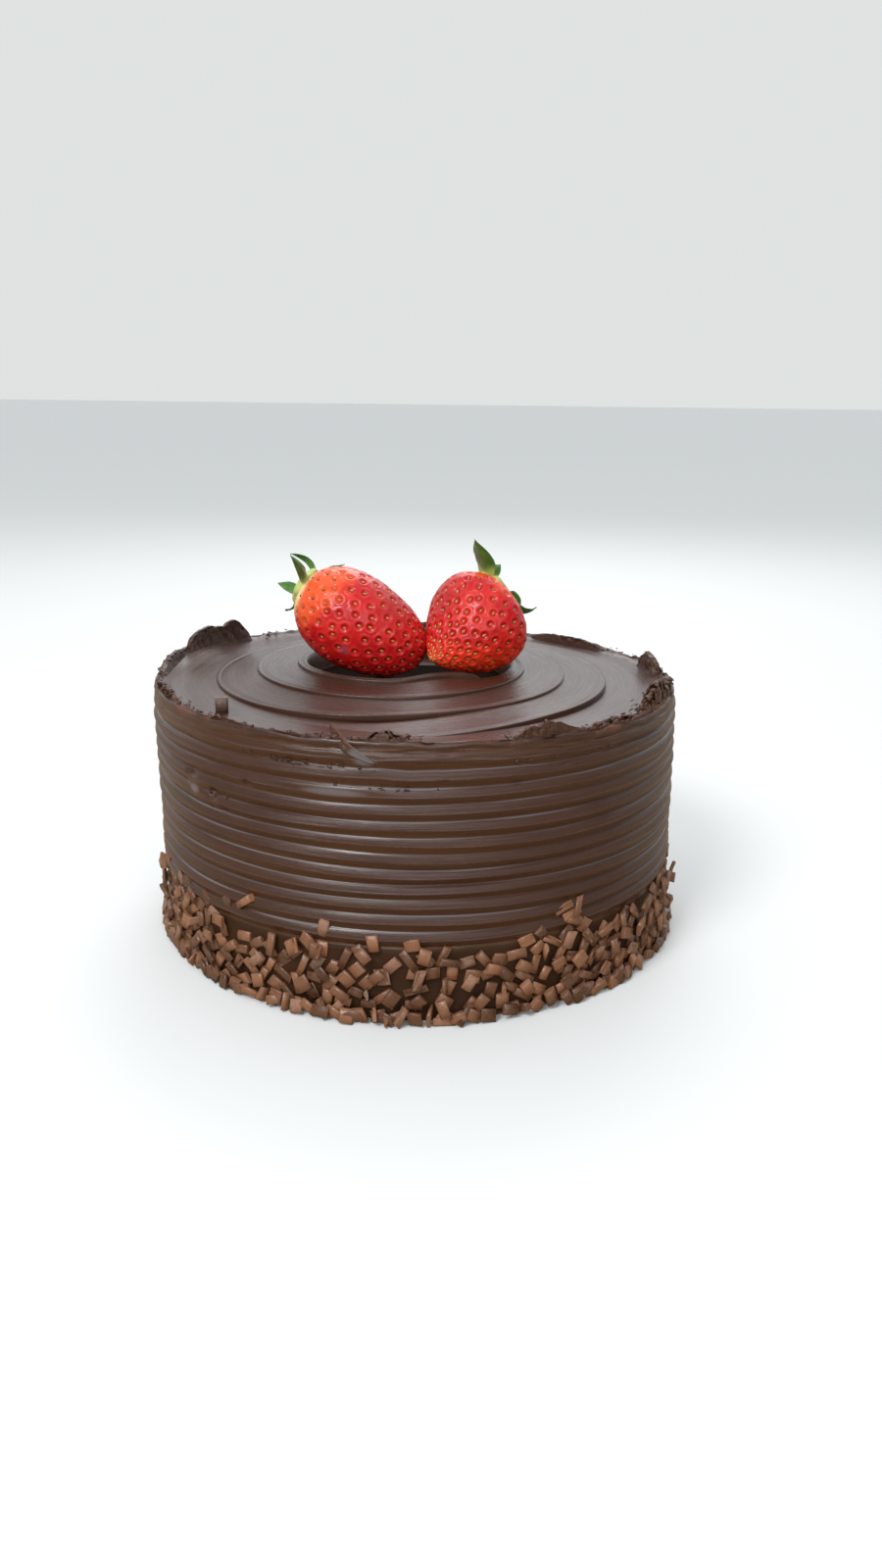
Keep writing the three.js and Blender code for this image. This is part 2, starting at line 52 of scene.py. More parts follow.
# ---- Driving dimensions ---------------------------------------------------------------------
# Where the solid's comb, hollow, stroke and flakes are simpler, these have the real sizes
CAKE_RADIUS = 100.6
RIM_HEIGHT = 98.6
TOP_LEAN = -1.4
FOOT_INSET = 1.4

RIDGE_PITCH = 5.62
RIDGE_DEPTH = 1.45
RIDGE_UNDERCUT = 2.65
VALLEY_SHARE = 1.0 - RIDGE_UNDERCUT / RIDGE_PITCH
BEAD_SHARE = 0.035
RIDGE_LOWEST = 30.6
RIDGE_COUNT = 12
RIDGE_WAVE = 0.35

DISH_DEPTH = 1.9
WELL_DEPTH = 4.6
# The hollow round the berries: its radius and, of the low mound in it, middle, spread and height
WELL_RADIUS = 47.0
WELL_MOUND = ((-14.0, -6.5), 9.5, 3.5)
RIM_TILT = 1.5
RIM_TILT_TOWARDS = 45.0

SWIRL_CENTRE = (-7.6, 2.0)
SWIRL_START_RADIUS = 84.0
SWIRL_PITCH = 15.8
SWIRL_FLARE = 7.5
SWIRL_TURNS = (-0.12, 3.2)
# Near its end the stroke bends in: depth, and middle and spread in turns. Then it bends out: by
# the first number, times the power 1.5 of the turns past the second in steps of the third
SWIRL_BEND_IN = (-2.6, 3.065, 0.05)
SWIRL_BEND_OUT = (14.0, 3.1, 0.1)
SWIRL_NARROW_TURNS = (2.06, 2.3)
SWIRL_NARROW = 5.0
SWIRL_LOWEST = -0.9
SWIRL_RISE = 0.075
SWIRL_STEEPER = 0.0007
SWIRL_LIP = 1.1

# Torn ganache along the rim: middle and half width in degrees, rise over the rim, lean inwards
# and thickness at the root in millimetres, how deeply it is torn, 0 to 1, and the power of the
# cosine that shapes it along the rim, lower for a squarer lump
RIM_TEARS = [
    (159.5, 6.2, 9.8, 3.0, 5.0, 0.2, 0.2),
    (154.0, 7.0, 8.4, 3.3, 6.0, 0.2, 0.35),
    (149.0, 8.4, 9.2, 3.5, 5.5, 0.25, 0.75),
    (174.0, 13.0, 4.0, 1.0, 4.5, 0.3, 0.6),
    (205.0, 8.0, 2.6, 0.5, 3.5, 0.9, 0.7),
    (232.5, 4.5, 1.3, -0.8, 3.0, 0.7, 0.7),
    (265.4, 3.2, 3.4, 1.2, 4.5, 1.0, 0.6),
    (297.0, 7.5, 4.4, 1.0, 4.0, 0.6, 0.8),
    (313.0, 8.0, 1.6, 1.5, 3.5, 1.0, 0.7),
    (334.0, 7.0, 7.6, 1.5, 7.0, 1.0, 0.42),
    (346.0, 8.0, 4.2, 1.0, 6.0, 0.9, 0.6),
    (11.0, 5.5, 5.6, 2.5, 5.5, 0.7, 0.5),
    (46.0, 12.0, 2.4, 2.0, 4.0, 0.4, 0.7),
    (92.0, 10.0, 2.4, 1.5, 4.0, 0.4, 0.7),
]
# The fin's upper line at either end: angle, radius and height against the rim
FIN_FROM = (255.0, 96.5, 4.4)
FIN_TO = (263.7, 101.4, -6.4)
FIN_WIDTH = 3.5
FIN_STEPS = 60
FIN_SECTION = 28

FLAKE_LENGTH = 5.2
FLAKE_WIDTH = 4.5
FLAKE_THICKNESS = 1.65
FLAKE_REACH = 105.0
# Place of the upright flake on the top
LONE_FLAKE = (-67.0, -61.0)

# Berries: the axis runs from the calyx to the tip, turned by yaw and dipping by pitch. The bruise and the
# dull patch are each a middle and a radius. The number after warmth is the strength of the painted bounce
# light that brightens the berry low down.
BERRIES = {
    "left": dict(
        centre=(-22.1, -6.2, RIM_HEIGHT + 19.3), yaw=-8.0, pitch=27.0,
        length=54.2, width=36.2, depth=38.0, taper=0.14, blunt=0.92,
        bow_up=-0.3, bow_side=0.0, calyx_tilt=8.0, calyx_turn=60.0,
        seeds=215, seed_crowding=1.0, orange_side=-18.0, orange_reach=1.5,
        warmth=0.0, painted_bounce_light=0.0, pale_reach=0.62,
        bruise=((-28.1, -22.7, 111.2), 2.6), dull=((-10.0, -13.0, 127.5), 13.0),
    ),
    "right": dict(
        centre=(16.5, -7.0, RIM_HEIGHT + 19.75), yaw=-129.8, pitch=29.5,
        length=44.0, width=39.1, depth=41.4, taper=0.54, blunt=1.3,
        bow_up=-4.7, bow_side=1.2, calyx_tilt=10.0, calyx_turn=0.0,
        seeds=235, seed_crowding=0.86, orange_side=15.0, orange_reach=1.15,
        warmth=0.12, painted_bounce_light=0.85, pale_reach=0.82,
        bruise=((24.0, -27.0, 112.0), 0.5), dull=((8.0, -6.0, 128.0), 12.0),
    ),
}
BERRY_BUMP = 0.018

# Sepals: turn round the berry's axis, length, width, lift at the root and lift at the tip
SEPAL_ROOT = 5.7
SEPAL_DROP = 1.2
SEPALS = {
    "left": [
        (60, 18.0, 4.8, 6, 142),
        (-58, 18.4, 4.4, -13, 47),
        (132, 13.9, 5.0, 57, 70),
        (181, 8.0, 3.2, -29, 61),
        (31, 12.7, 2.6, -42, -28),
        (98, 11.0, 5.0, 0, -24),
    ],
    "right": [
        (6, 18.0, 8.8, 3, 6),
        (30, 7.0, 4.0, 32, 130),
        (196, 12.0, 5.0, 0, -30),
        (150, 12.0, 6.6, 60, -84),
        (146, 19.0, 7.6, -38, 84),
    ],
}


# ---- Numbers --------------------------------------------------------------------------------
def smoothstep(value, low, high):
    """0 below low, 1 above high, and 3t^2 - 2t^3 of the share t between them."""
    share = np.clip((value - low) / (high - low), 0.0, 1.0)
    return share * share * (3.0 - 2.0 * share)


def field(*parts):
    """Numbers or arrays stacked as vectors, after being spread to one shape."""
    return np.stack(np.broadcast_arrays(*parts), axis=-1)


def mix(a, b, share):
    return a + (b - a) * share


def bell(value, middle, spread):
    return np.exp(-(((value - middle) / spread) ** 2))


def table(rows, place):
    """Values between the rows of a table of places and values."""
    return np.interp(place, *np.array(rows).T)


def lattice(i, j, k, seed):
    """A fixed number from 0 to 1 for each whole-numbered place, from mixed bits."""
    def bits(value, factor):
        return value.astype(np.int64).astype(np.uint32) * np.uint32(factor)

    mixed = bits(i, 374761393) + bits(j, 668265263) + bits(k, 2246822519)
    mixed = mixed + np.uint32((seed * 3266489917) % 4294967296)
    mixed = (mixed ^ (mixed >> np.uint32(13))) * np.uint32(1274126177)
    mixed = mixed ^ (mixed >> np.uint32(16))
    return mixed.astype(np.float64) / 4294967295.0


def noise(places, seed):
    """Smooth noise from -1 to 1: lattice numbers at the corners of each unit cell, mixed by
    smoothstep of the place within the cell."""
    cell = np.floor(places)
    part = smoothstep(places - cell, 0.0, 1.0)
    value = 0.0
    for corner in np.ndindex(2, 2, 2):
        weights = np.where(corner, part, 1 - part)
        x, y, z = np.moveaxis(cell + corner, -1, 0)
        value = value + weights[..., 0] * weights[..., 1] * weights[..., 2] * lattice(x, y, z, seed)
    return value * 2.0 - 1.0


def rough_noise(places, seed, octaves):
    """Sum of noise at doubled frequencies and halved heights."""
    return sum(noise(places * 2.0**k, seed + 17 * k) * 0.5**k for k in range(octaves))


def around_cake(angle, across=0.0):
    """Places on a circle of radius 1 at angles in degrees, with a third part across it."""
    turn = np.radians(angle)
    return field(np.cos(turn), np.sin(turn), across)


def beside(out):
    """The way round the cake, from the way outwards."""
    return field(-out[..., 1], out[..., 0], 0.0)


def round_noise(angle, scale, height, seed, octaves=3):
    """Noise round the cake: places on a circle of radius scale, at a height in the third axis."""
    return rough_noise(around_cake(angle, height) * [scale, scale, 1.0], seed, octaves)


def unit(vectors):
    return vectors / np.maximum(np.linalg.norm(vectors, axis=-1, keepdims=True), 1e-12)


def turned(vectors, axis, angle):
    """Vectors turned about unit axes by angles in radians: Rodrigues' rotation."""
    cosine = np.cos(angle)[..., None]
    sine = np.sin(angle)[..., None]
    along = np.sum(vectors * axis, axis=-1, keepdims=True)
    return vectors * cosine + np.cross(axis, vectors) * sine + axis * along * (1 - cosine)


def on_cake(angle, radius, height):
    """Points from angles round the cake's axis, radii and heights; the top leans to the left."""
    turn = np.radians(angle)
    x = radius * np.cos(turn) + TOP_LEAN * height / RIM_HEIGHT
    return field(x, radius * np.sin(turn), height)


def deepest(angle, height, marks):
    """Depth of marks on the side, each an angle and height, half width, half height and depth. A
    mark has its full depth in its middle and none at its half width and half height."""
    depths = np.zeros_like(angle)
    for (middle, up), half_width, half_height, depth in marks:
        along = np.radians((angle - middle + 180.0) % 360.0 - 180.0) * CAKE_RADIUS
        far = np.sqrt((along / half_width) ** 2 + ((height - up) / half_height) ** 2)
        depths = np.maximum(depths, depth * (1.0 - smoothstep(far, 0.15, 1.0)))
    return depths


# ---- Meshes ---------------------------------------------------------------------------------
def ring_quads(rings, size, closed=False):
    """Four corners of each cell between rings of points, closed if the last meets the first."""
    i, j = np.meshgrid(np.arange(rings if closed else rings - 1), np.arange(size), indexing="ij")
    i2, j2 = (i + 1) % rings, (j + 1) % size
    corners = [i * size + j, i * size + j2, i2 * size + j2, i2 * size + j]
    return np.stack(corners, axis=-1).reshape(-1, 4)


def fan(ring, hub):
    """Triangles from a ring of corner numbers to a hub."""
    return field(ring, np.roll(ring, -1), hub)


def tube(rings, ends=None, flipped=False):
    """A closed surface through rings of points, (rings, points, 3), with a fan at either end to
    the ring's middle or to the point given. Returns its points, quads and triangles."""
    number, size = rings.shape[:2]
    count = number * size
    way = -1 if flipped else 1
    ends = rings[[0, -1]].mean(axis=1) if ends is None else ends
    first, last = np.arange(size)[::-way], np.arange(count - size, count)[::way]
    points = np.concatenate([rings.reshape(-1, 3), ends])
    triangles = np.concatenate([fan(first, count), fan(last, count + 1)])
    return points, ring_quads(number, size)[:, ::way], triangles


def joined(parts):
    """Surfaces as one. Each is its points, quads, triangles and values."""
    points, quads, triangles, values = zip(*parts)
    starts = np.cumsum([0] + [len(some) for some in points])
    values = [filled(some, len(own)) for some, own in zip(values, points)]
    return (
        np.concatenate(points),
        np.concatenate([start + some for start, some in zip(starts, quads)]),
        np.concatenate([start + some for start, some in zip(starts, triangles)]),
        {key: np.concatenate([some[key] for some in values]) for key in values[0]},
    )


def filled(values, count):
    """Values as flat arrays for a number of points, with zeros past those that are given."""
    full = {}
    for key, value in values.items():
        full[key] = np.zeros(count * (3 if key in VECTOR_VALUES else 1), dtype=np.float32)
        full[key][:value.size] = value.ravel()
    return full


NO_TRIANGLES = np.zeros((0, 3), dtype=int)


def new_piece(name, points, quads, triangles=NO_TRIANGLES, values=None):
    """Mesh object at the origin from points in millimetres, with smooth faces and with values as
    attributes. A material reads 0 for a value that a piece doesn't have."""
    corners = np.concatenate([quads.ravel(), triangles.ravel()])
    totals = np.repeat([4, 3], [len(quads), len(triangles)])
    mesh = bpy.data.meshes.new(name)
    mesh.vertices.add(len(points))
    mesh.vertices.foreach_set("co", (points * MM).astype(np.float32).ravel())
    mesh.loops.add(len(corners))
    mesh.loops.foreach_set("vertex_index", corners.astype(np.int32))
    mesh.polygons.add(len(totals))
    mesh.polygons.foreach_set("loop_start", (np.cumsum(totals) - totals).astype(np.int32))
    mesh.polygons.foreach_set("loop_total", totals.astype(np.int32))
    mesh.polygons.foreach_set("use_smooth", np.ones(len(totals), dtype=bool))
    mesh.update(calc_edges=True)
    for key, value in filled(values or {}, len(points)).items():
        kind, part = ("FLOAT_VECTOR", "vector") if key in VECTOR_VALUES else ("FLOAT", "value")
        mesh.attributes.new(key, kind, "POINT").data.foreach_set(part, value)
    piece = bpy.data.objects.new(name, mesh)
    bpy.context.collection.objects.link(piece)
    return piece


def dress(piece, material, slot, *nodes):
    """Gives a piece its material, hangs it on the body it rides on and hides the parts of the solid that
    it stands for.
    """
    piece.data.materials.append(material)
    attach(piece, BODY)
    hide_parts(*nodes)


def copies(template, quads, triangles, axes, places):
    """Many copies of one shape, joined: each copy's points are its axes, as rows, times the
    template's, moved to its place. template is (copies, points, 3)."""
    points = np.einsum("nij,nmi->nmj", axes, template) + places[:, None, :]
    count, size = points.shape[:2]
    step = (np.arange(count) * size)[:, None, None]
    return points.reshape(-1, 3), (quads + step).reshape(-1, 4), (triangles + step).reshape(-1, 3)


def square_to(vectors, axis):
    """Unit vectors at right angles to the axis, in the plane of both."""
    return unit(vectors - axis * np.sum(vectors * axis, axis=-1, keepdims=True))


def as_axes(x_axis, z_axis):
    return np.stack([x_axis, np.cross(z_axis, x_axis), z_axis], axis=1)


def facing(normals, spins):
    """Axes of copies as rows: z along the normal, x turned by the spin about it."""
    upright = np.where(np.abs(normals[:, 2:3]) < 0.9, [[0.0, 0.0, 1.0]], [[1.0, 0.0, 0.0]])
    return as_axes(turned(unit(np.cross(upright, normals)), normals, spins), normals)


# ---- The coat of ganache --------------------------------------------------------------------
COAT_COLUMNS = 500
# Rows of one comb mark, as shares of the pitch
COMB_ROWS = (0.0, 0.035, 0.075, 0.15, 0.25, 0.33, 0.39, 0.44, 0.48, 0.51, 0.55, 0.67, 0.84)
# Rows over the rim: height against the rim's and radius against the side's
RIM_ROWS = [
    (-1.3, -0.15), (-0.8, -0.3), (-0.35, -0.55), (-0.08, -1.0), (-0.05, -1.5), (-0.35, -2.1),
    (-0.8, -2.9), (-1.2, -4.2), (-1.5, -6.0), (-1.75, -8.5), (-1.9, -12.0), (-1.9, -18.0),
]
# Radii of the rows in the shallow dish and in the hollow
DISH_RADII = (74.0, 60.0)
WELL_RADII = (46.0, 40.0, 34.0, 28.0, 22.0, 16.0, 10.0, 5.0)
# Where the rim stands higher, at the left: middle and spread in degrees, and rise
RIM_SWELL = (160.0, 13.0, 3.4)
# Middle and spread in degrees of the stretch where the painted highlights on the comb marks are clearest
CLEAREST_HIGHLIGHTS = (258.0, 36.0)
# Smears and nicks: angle and height, half width, half height and depth
SMEARS = [
    ((256.0, 82.0), 26.0, 3.2, 1.0),
    ((222.0, 72.0), 7.0, 4.0, 1.0),
    ((262.0, 92.0), 9.0, 4.0, 1.0),
]
NICKS = [
    ((237.5, 80.5), 2.6, 1.6, 1.3),
    ((221.0, 77.0), 4.5, 1.8, 1.1),
    ((228.0, 72.5), 2.4, 3.2, 1.3),
    ((231.0, 68.0), 3.5, 1.5, 0.8),
    ((276.0, 86.5), 2.6, 0.8, 0.4),
    ((290.0, 84.0), 2.2, 0.9, 0.5),
    ((300.0, 88.5), 3.0, 1.0, 0.5),
    ((122.0, 62.0), 3.0, 1.4, 0.8),
    ((61.0, 79.0), 3.4, 1.5, 0.8),
]


def rim_height(angle):
    """Height of the rim: RIM_TILT times (1/2 + cos) lower towards the back right."""
    return RIM_HEIGHT - RIM_TILT * (0.5 + np.cos(np.radians(angle - RIM_TILT_TOWARDS)))


def ridge_wave(angle, height):
    """Two slow sines round the cake, shifted from one comb mark to the next."""
    turn = np.radians(angle)
    slow = np.sin(2 * turn + height * 0.11) + 0.6 * np.sin(5 * turn - height * 0.23)
    return RIDGE_WAVE * slow


def comb_relief(share, lean):
    """Radius against the middle of the side, over one pitch upwards from a ridge's lower edge:
    a thin bead, a face that leans in by lean times s^1.5 and bends over its shoulder by the
    rest times s^6, then an overhang t^0.9 back out to the next ridge."""
    face = np.clip(share / VALLEY_SHARE, 0, 1)
    step = np.clip((share - VALLEY_SHARE) / (1 - VALLEY_SHARE), 0, 1)
    bead = 0.09 * bell(share, BEAD_SHARE, 0.03)
    return 0.5 + bead - lean * face**1.5 - (1 - lean) * face**6 + step**0.9


def coat_rows():
    """Rows of the coat from the foot to the middle of the top. Each is a height, a radius against
    CAKE_RADIUS, its share of the comb relief, its share of the rim's own movement and its share of the
    torn roughness and painted shade under the flakes."""
    rows = [(0.0, -FOOT_INSET, 0, 0, 0.2), (0.5, -0.4, 0, 0, 0.6)]
    rows += [(up, 0, 0, 0, 1) for up in np.arange(2.0, RIDGE_LOWEST - RIDGE_UNDERCUT, 1.7)]
    marks = [k + share for k in range(-1, RIDGE_COUNT) for share in COMB_ROWS]
    marks = [mark for mark in marks if mark >= 0 or mark + 1 > VALLEY_SHARE]
    rows += [(RIDGE_LOWEST + mark * RIDGE_PITCH, 0, 1, 0, 0) for mark in marks]
    rows = [row for row in rows if row[0] < RIM_HEIGHT - 1.6]
    rows += [(RIM_HEIGHT + up, out, 0, 1, 0) for up, out in RIM_ROWS]
    dish, well = RIM_HEIGHT - DISH_DEPTH - 1.0, RIM_HEIGHT - WELL_DEPTH
    rows += [(dish, radius - CAKE_RADIUS, 0, 0, 0) for radius in DISH_RADII]
    rows += [(well, radius - CAKE_RADIUS, 0, 0, 0) for radius in WELL_RADII]
    return np.array(rows)


def slow_swell(angle, height):
    """Slow unevenness of the whole side."""
    return 0.35 * round_noise(angle, 1.6, height / 34.0, 31, 2)


def ganache_coat():
    """Side, rim and dish as one closed surface of revolution. Radius = CAKE_RADIUS + the row's
    own inset + the comb's relief, which slow noise deepens and smears flatten, - nicks + fine
    marks drawn round the cake. The rows ride on ridge_wave and the rim on rim_height."""
    base, inset, combed, at_rim, torn_foot = coat_rows().T[:, :, None]
    angle = np.arange(COAT_COLUMNS) * 360.0 / COAT_COLUMNS + 90.0 + 0.0 * base

    def near_rim(far, near):
        return smoothstep(base, RIM_HEIGHT - far, RIM_HEIGHT - near)

    share = ((base - RIDGE_LOWEST) / RIDGE_PITCH) % 1.0
    ridge = np.floor((base - RIDGE_LOWEST) / RIDGE_PITCH + 1e-6)
    relief = comb_relief(share, 0.42 + 0.12 * round_noise(angle, 3.0, ridge * 2.3, 6))
    deepness = 1.0 + 0.3 * round_noise(angle, 2.2, ridge * 3.7, 5)
    depth = RIDGE_DEPTH * deepness * (1.0 - 0.45 * near_rim(9.0, 3.0))
    smeared = deepest(angle, base, SMEARS)
    comb = combed * depth * mix(relief, 0.42, smeared * 0.9)

    draped, at_top = near_rim(11.0, 3.0), near_rim(6.5, 3.5)
    strands = round_noise(angle, 5.0, base / 0.62, 21, 2)
    strands = np.where(draped > 0.5, round_noise(angle, 9.0, base / 0.62, 21, 2), strands)
    fine = (mix(0.07, 0.3, draped) + 0.2 * at_top) * combed * strands
    crumbled = 0.5 * torn_foot * round_noise(angle, 16.0, base / 5.0, 41, 4)
    nicked = deepest(angle, base, NICKS)
    barrel = 0.45 * np.sin(np.pi * (base - 8.0) / 82.0) * (base < RIM_HEIGHT - 2)
    outside = smoothstep(inset + CAKE_RADIUS, SWIRL_START_RADIUS - 6, CAKE_RADIUS - 4)
    broad = outside * slow_swell(angle, base)
    radius = CAKE_RADIUS + inset + comb + fine + broad + crumbled - nicked + barrel

    tangled = near_rim(22, 4) * (0.35 * round_noise(angle, 9.0, ridge * 5.1, 51, 3))
    on_edge = at_rim * (1 - smoothstep(-inset, 1.2, 3.0))
    swell = RIM_SWELL[2] * bell(angle % 360.0, *RIM_SWELL[:2])
    lift = combed * (ridge_wave(angle, base) + tangled)
    lift = lift + near_rim(2 * RIDGE_PITCH, 0) * outside * (rim_height(angle) - RIM_HEIGHT)
    lift = lift + at_rim * swell * smoothstep(CAKE_RADIUS + inset, 86.0, 99.0)
    lift = lift + on_edge * (0.45 * round_noise(angle, 15.0, 0.0, 61, 3))
    dish_wave = 0.22 * round_noise(angle, 2.0, inset / 9.0, 71, 2)
    lift = lift + at_rim * (1 - on_edge) * outside * dish_wave
    points = on_cake(angle, radius, np.maximum(base + lift, 0.0))
    in_well = (CAKE_RADIUS + inset < WELL_RADIUS) + 0.0 * angle
    middle, spread, mound = WELL_MOUND
    near = np.hypot(points[..., 0] - middle[0], points[..., 1] - middle[1])
    points[..., 2] += in_well * mound * bell(near, 0.0, spread)

    # Painted shade: the overhang under each comb crest takes the warm shade colour, the torn foot behind
    # the flakes is painted darker still, as the shade in the gaps between flakes, and the rows just under
    # the rim take half of the shade colour.
    under = smoothstep(share, VALLEY_SHARE - 0.03, VALLEY_SHARE + 0.06) * (1 - 0.8 * smeared)
    shade = 1.5 * torn_foot + combed * np.maximum(under, 0.5 * at_top)
    # Painted shade: the hollow round the berries, in front of y = 25 to 37 mm, is painted nearly black
    # and dull, as the shade that the berries and its walls cast.
    pressed = in_well * (1 - smoothstep(points[..., 1], 25.0, 37.0))
    # Painted highlights: thin pale marks on each comb mark's bead and shoulder, brightest towards the
    # front
    bead = combed * (1 - smoothstep(np.abs((share + 0.5) % 1.0 - 0.5 - BEAD_SHARE), 0.01, 0.045))
    face = share / VALLEY_SHARE
    shoulder = smoothstep(face, 0.74, 0.88) * (1 - smoothstep(face, 1.0, 1.05))
    lit = 1.2 + 0.55 * bell(angle % 360.0, *CLEAREST_HIGHLIGHTS)
    lit = lit + 0.7 * round_noise(angle, 2.6, ridge * 7.1, 92, 2)
    painted_highlights = combed * shoulder * (1 - 0.6 * at_top) * lit
    painted_highlights = np.maximum(painted_highlights, bead * (1.45 + 0.5 * round_noise(angle, 4.0, ridge * 4.3, 93, 2)))
    ripped = 0.22 + 0.6 * round_noise(angle, 11.0, base / 3.0, 91, 3)
    edges = on_edge + 0.35 * combed * draped + 0.2 * at_top
    torn = np.clip(edges * ripped + nicked * 0.3, 0, 1)
    # Smeared patches are glossier, and past 1 they are also painted with a pale sheen
    smooth = np.maximum(1.7 * smeared, at_rim * (1 - on_edge))
    values = {
        # Painted shade as above, with the middle of the hollow's floor painted nearly black too
        "shade": np.append(np.maximum(shade, 2.1 * pressed), [0, 2.0]),
        # On each comb mark's bead the torn colour is a painted highlight: a thin reddish line where the
        # lower edge catches light
        "torn": np.maximum(torn, bead * (0.42 + 0.3 * ripped)),
        "gloss_and_sheen": np.append(np.maximum(smooth, painted_highlights), [0, 1]),
        "stroke": around_cake(angle, np.where(at_rim + (inset < -20) > 0, 0.4 * inset, base)),
    }
    poles = [[0.0, 0.0, 0.0], [TOP_LEAN, 0.0, RIM_HEIGHT - WELL_DEPTH + 0.3]]
    return new_piece("ganache_coat", *tube(points, poles), values)


# ---- The swirl ------------------------------------------------------------------------------
SWIRL_STEPS = 1100
# Sections of the stroke, outer edge to inner: millimetres inwards of the lip, and height
# against the line from the lip to the band's inner edge. Both begin with the lip's crest
SWIRL_CREST = ((-0.3, -1.4), (-0.27, -0.45), (-0.2, -0.16), (-0.06, -0.03), (0.25, 0.03), (0.7, -0.02))
WIDE_SECTION = SWIRL_CREST + (
    (1.15, -0.3), (1.7, -0.34), (2.4, -0.16), (4.2, -0.34), (7.2, -0.46), (10.4, -0.4), (13.2, -0.2),
    (15.3, 0.0), (17.0, 0.1), (17.3, -0.5), (17.5, -1.0), (17.6, -1.5), (17.7, -2.0),
)
NARROW_SECTION = SWIRL_CREST + (
    (1.1, -0.42), (1.5, -0.6), (1.9, -0.42), (2.3, 0.02), (2.8, 0.1), (3.3, -0.2), (3.7, -1.0),
    (4.1, -2.2), (4.5, -3.6), (4.9, -5.2), (5.2, -6.6), (5.5, -8.0), (6.0, -9.0),
)
# Height of the stroke's underside against the rim, outside the hollow and in it
SWIRL_BASE = -3.4
WELL_BASE = -9.0
# How much of its full height the lip has, from turn
LIP_STRENGTH = [
    (-0.12, 0.2), (0.0, 0.35), (0.12, 1.0), (0.25, 0.8), (0.7, 0.16), (0.88, 0.14), (1.0, 0.55),
    (1.2, 1.0), (1.7, 0.8), (2.0, 1.0), (4.2, 1.0),
]


def swirl_radius(turn):
    """Radius of the lip: SWIRL_PITCH less each turn, flared at the start and bent at the end."""
    flare = SWIRL_FLARE * (1 - smoothstep(turn, -0.02, 0.12))
    reach, start, run = SWIRL_BEND_OUT
    bend = SWIRL_BEND_IN[0] * bell(turn, *SWIRL_BEND_IN[1:])
    bend = bend + reach * (np.maximum(turn - start, 0.0) / run) ** 1.5
    return SWIRL_START_RADIUS - SWIRL_PITCH * turn + flare + bend


def lip_height(turn):
    """Height of the lip over the rim's: it climbs faster the nearer it is to the middle. The
    outermost turn stands over the dish by its strength."""
    inwards = np.maximum(0.0, SWIRL_START_RADIUS - swirl_radius(turn))
    height = SWIRL_LOWEST + SWIRL_RISE * inwards + SWIRL_STEEPER * inwards**2
    outermost = 1 - smoothstep(turn, 0.9, 1.06)
    return mix(height, mix(-DISH_DEPTH, height, table(LIP_STRENGTH, turn)), outermost)


def spatula_swirl():
    """The stroke's section carried along a spiral whose radius falls by SWIRL_PITCH each turn.
    The wide section, one pitch across, becomes the narrow double lip, which falls steeply into
    the hollow and ends against the band outside it. Each band rises inwards to the foot of the
    next lip."""
    turn = np.linspace(*SWIRL_TURNS, SWIRL_STEPS)[:, None]
    narrowing = smoothstep(turn, *SWIRL_NARROW_TURNS)
    wide, narrow = (np.array(pairs).T[:, None, :] for pairs in (WIDE_SECTION, NARROW_SECTION))
    inwards, offset = mix(wide, narrow, narrowing)
    share = np.clip(inwards / mix(SWIRL_PITCH, SWIRL_NARROW, narrowing), 0, 1)
    drop = SWIRL_LIP * table(LIP_STRENGTH, turn + 1)
    rise = np.maximum(lip_height(turn + 1) - drop - lip_height(turn), -0.4) * (1 - narrowing)
    ends = smoothstep(turn, SWIRL_TURNS[0], 0.07) * (1 - smoothstep(turn, 3.13, SWIRL_TURNS[1]))
    angle = 270.0 + 360.0 * turn
    wander = 0.35 * noise(field(turn * 9.0, 0, 3.0), 7)
    radius = swirl_radius(turn) - inwards + wander * (1 - smoothstep(inwards, 0.5, 6.0))
    drawn = around_cake(angle, radius / 1.1) * [6, 6, 1]
    marks = 0.045 * rough_noise(drawn, 11, 2) * smoothstep(inwards, 0.0, 1.5)
    swell = 0.16 * noise(drawn * [0.3, 0.3, 0.12], 12)
    height = lip_height(turn) + rise * share + offset + marks + swell
    height = mix(mix(-DISH_DEPTH - 0.5, WELL_BASE + 1.0, narrowing), height, ends)
    floor = mix(SWIRL_BASE, WELL_BASE, smoothstep(turn, 1.7, 1.95))
    radius = np.concatenate([radius, radius[:, -1:], radius[:, :1]], axis=1)
    height = np.concatenate([height, floor, floor], axis=1)
    way = around_cake(angle)
    x, y = SWIRL_CENTRE[0] + radius * way[..., 0], SWIRL_CENTRE[1] + radius * way[..., 1]
    points = field(x, y, RIM_HEIGHT + height)
    # Painted shade: the warm shade colour on the hollow's steep inner wall, a little darker there, and
    # just under each lip's crest
    dark = np.maximum(1.3 * narrowing * smoothstep(inwards, 3.4, 5.0), smoothstep(-inwards, 0.2, 0.6))
    across, dark = (np.pad(value, ((0, 0), (0, 2))) for value in (inwards + SWIRL_PITCH * turn, dark))
    surface = tube(points, flipped=True)
    values = {
        "shade": dark, "gloss_and_sheen": np.ones(len(surface[0])), "stroke": around_cake(angle, across * 1.7),
    }
    return new_piece("spatula_swirl", *surface, values)


# ---- Torn rim -------------------------------------------------------------------------------
TEAR_STEPS = 64
TEAR_SECTION = 36
TEAR_ROOT = 5.0
FRINGE_COLUMNS = 3000
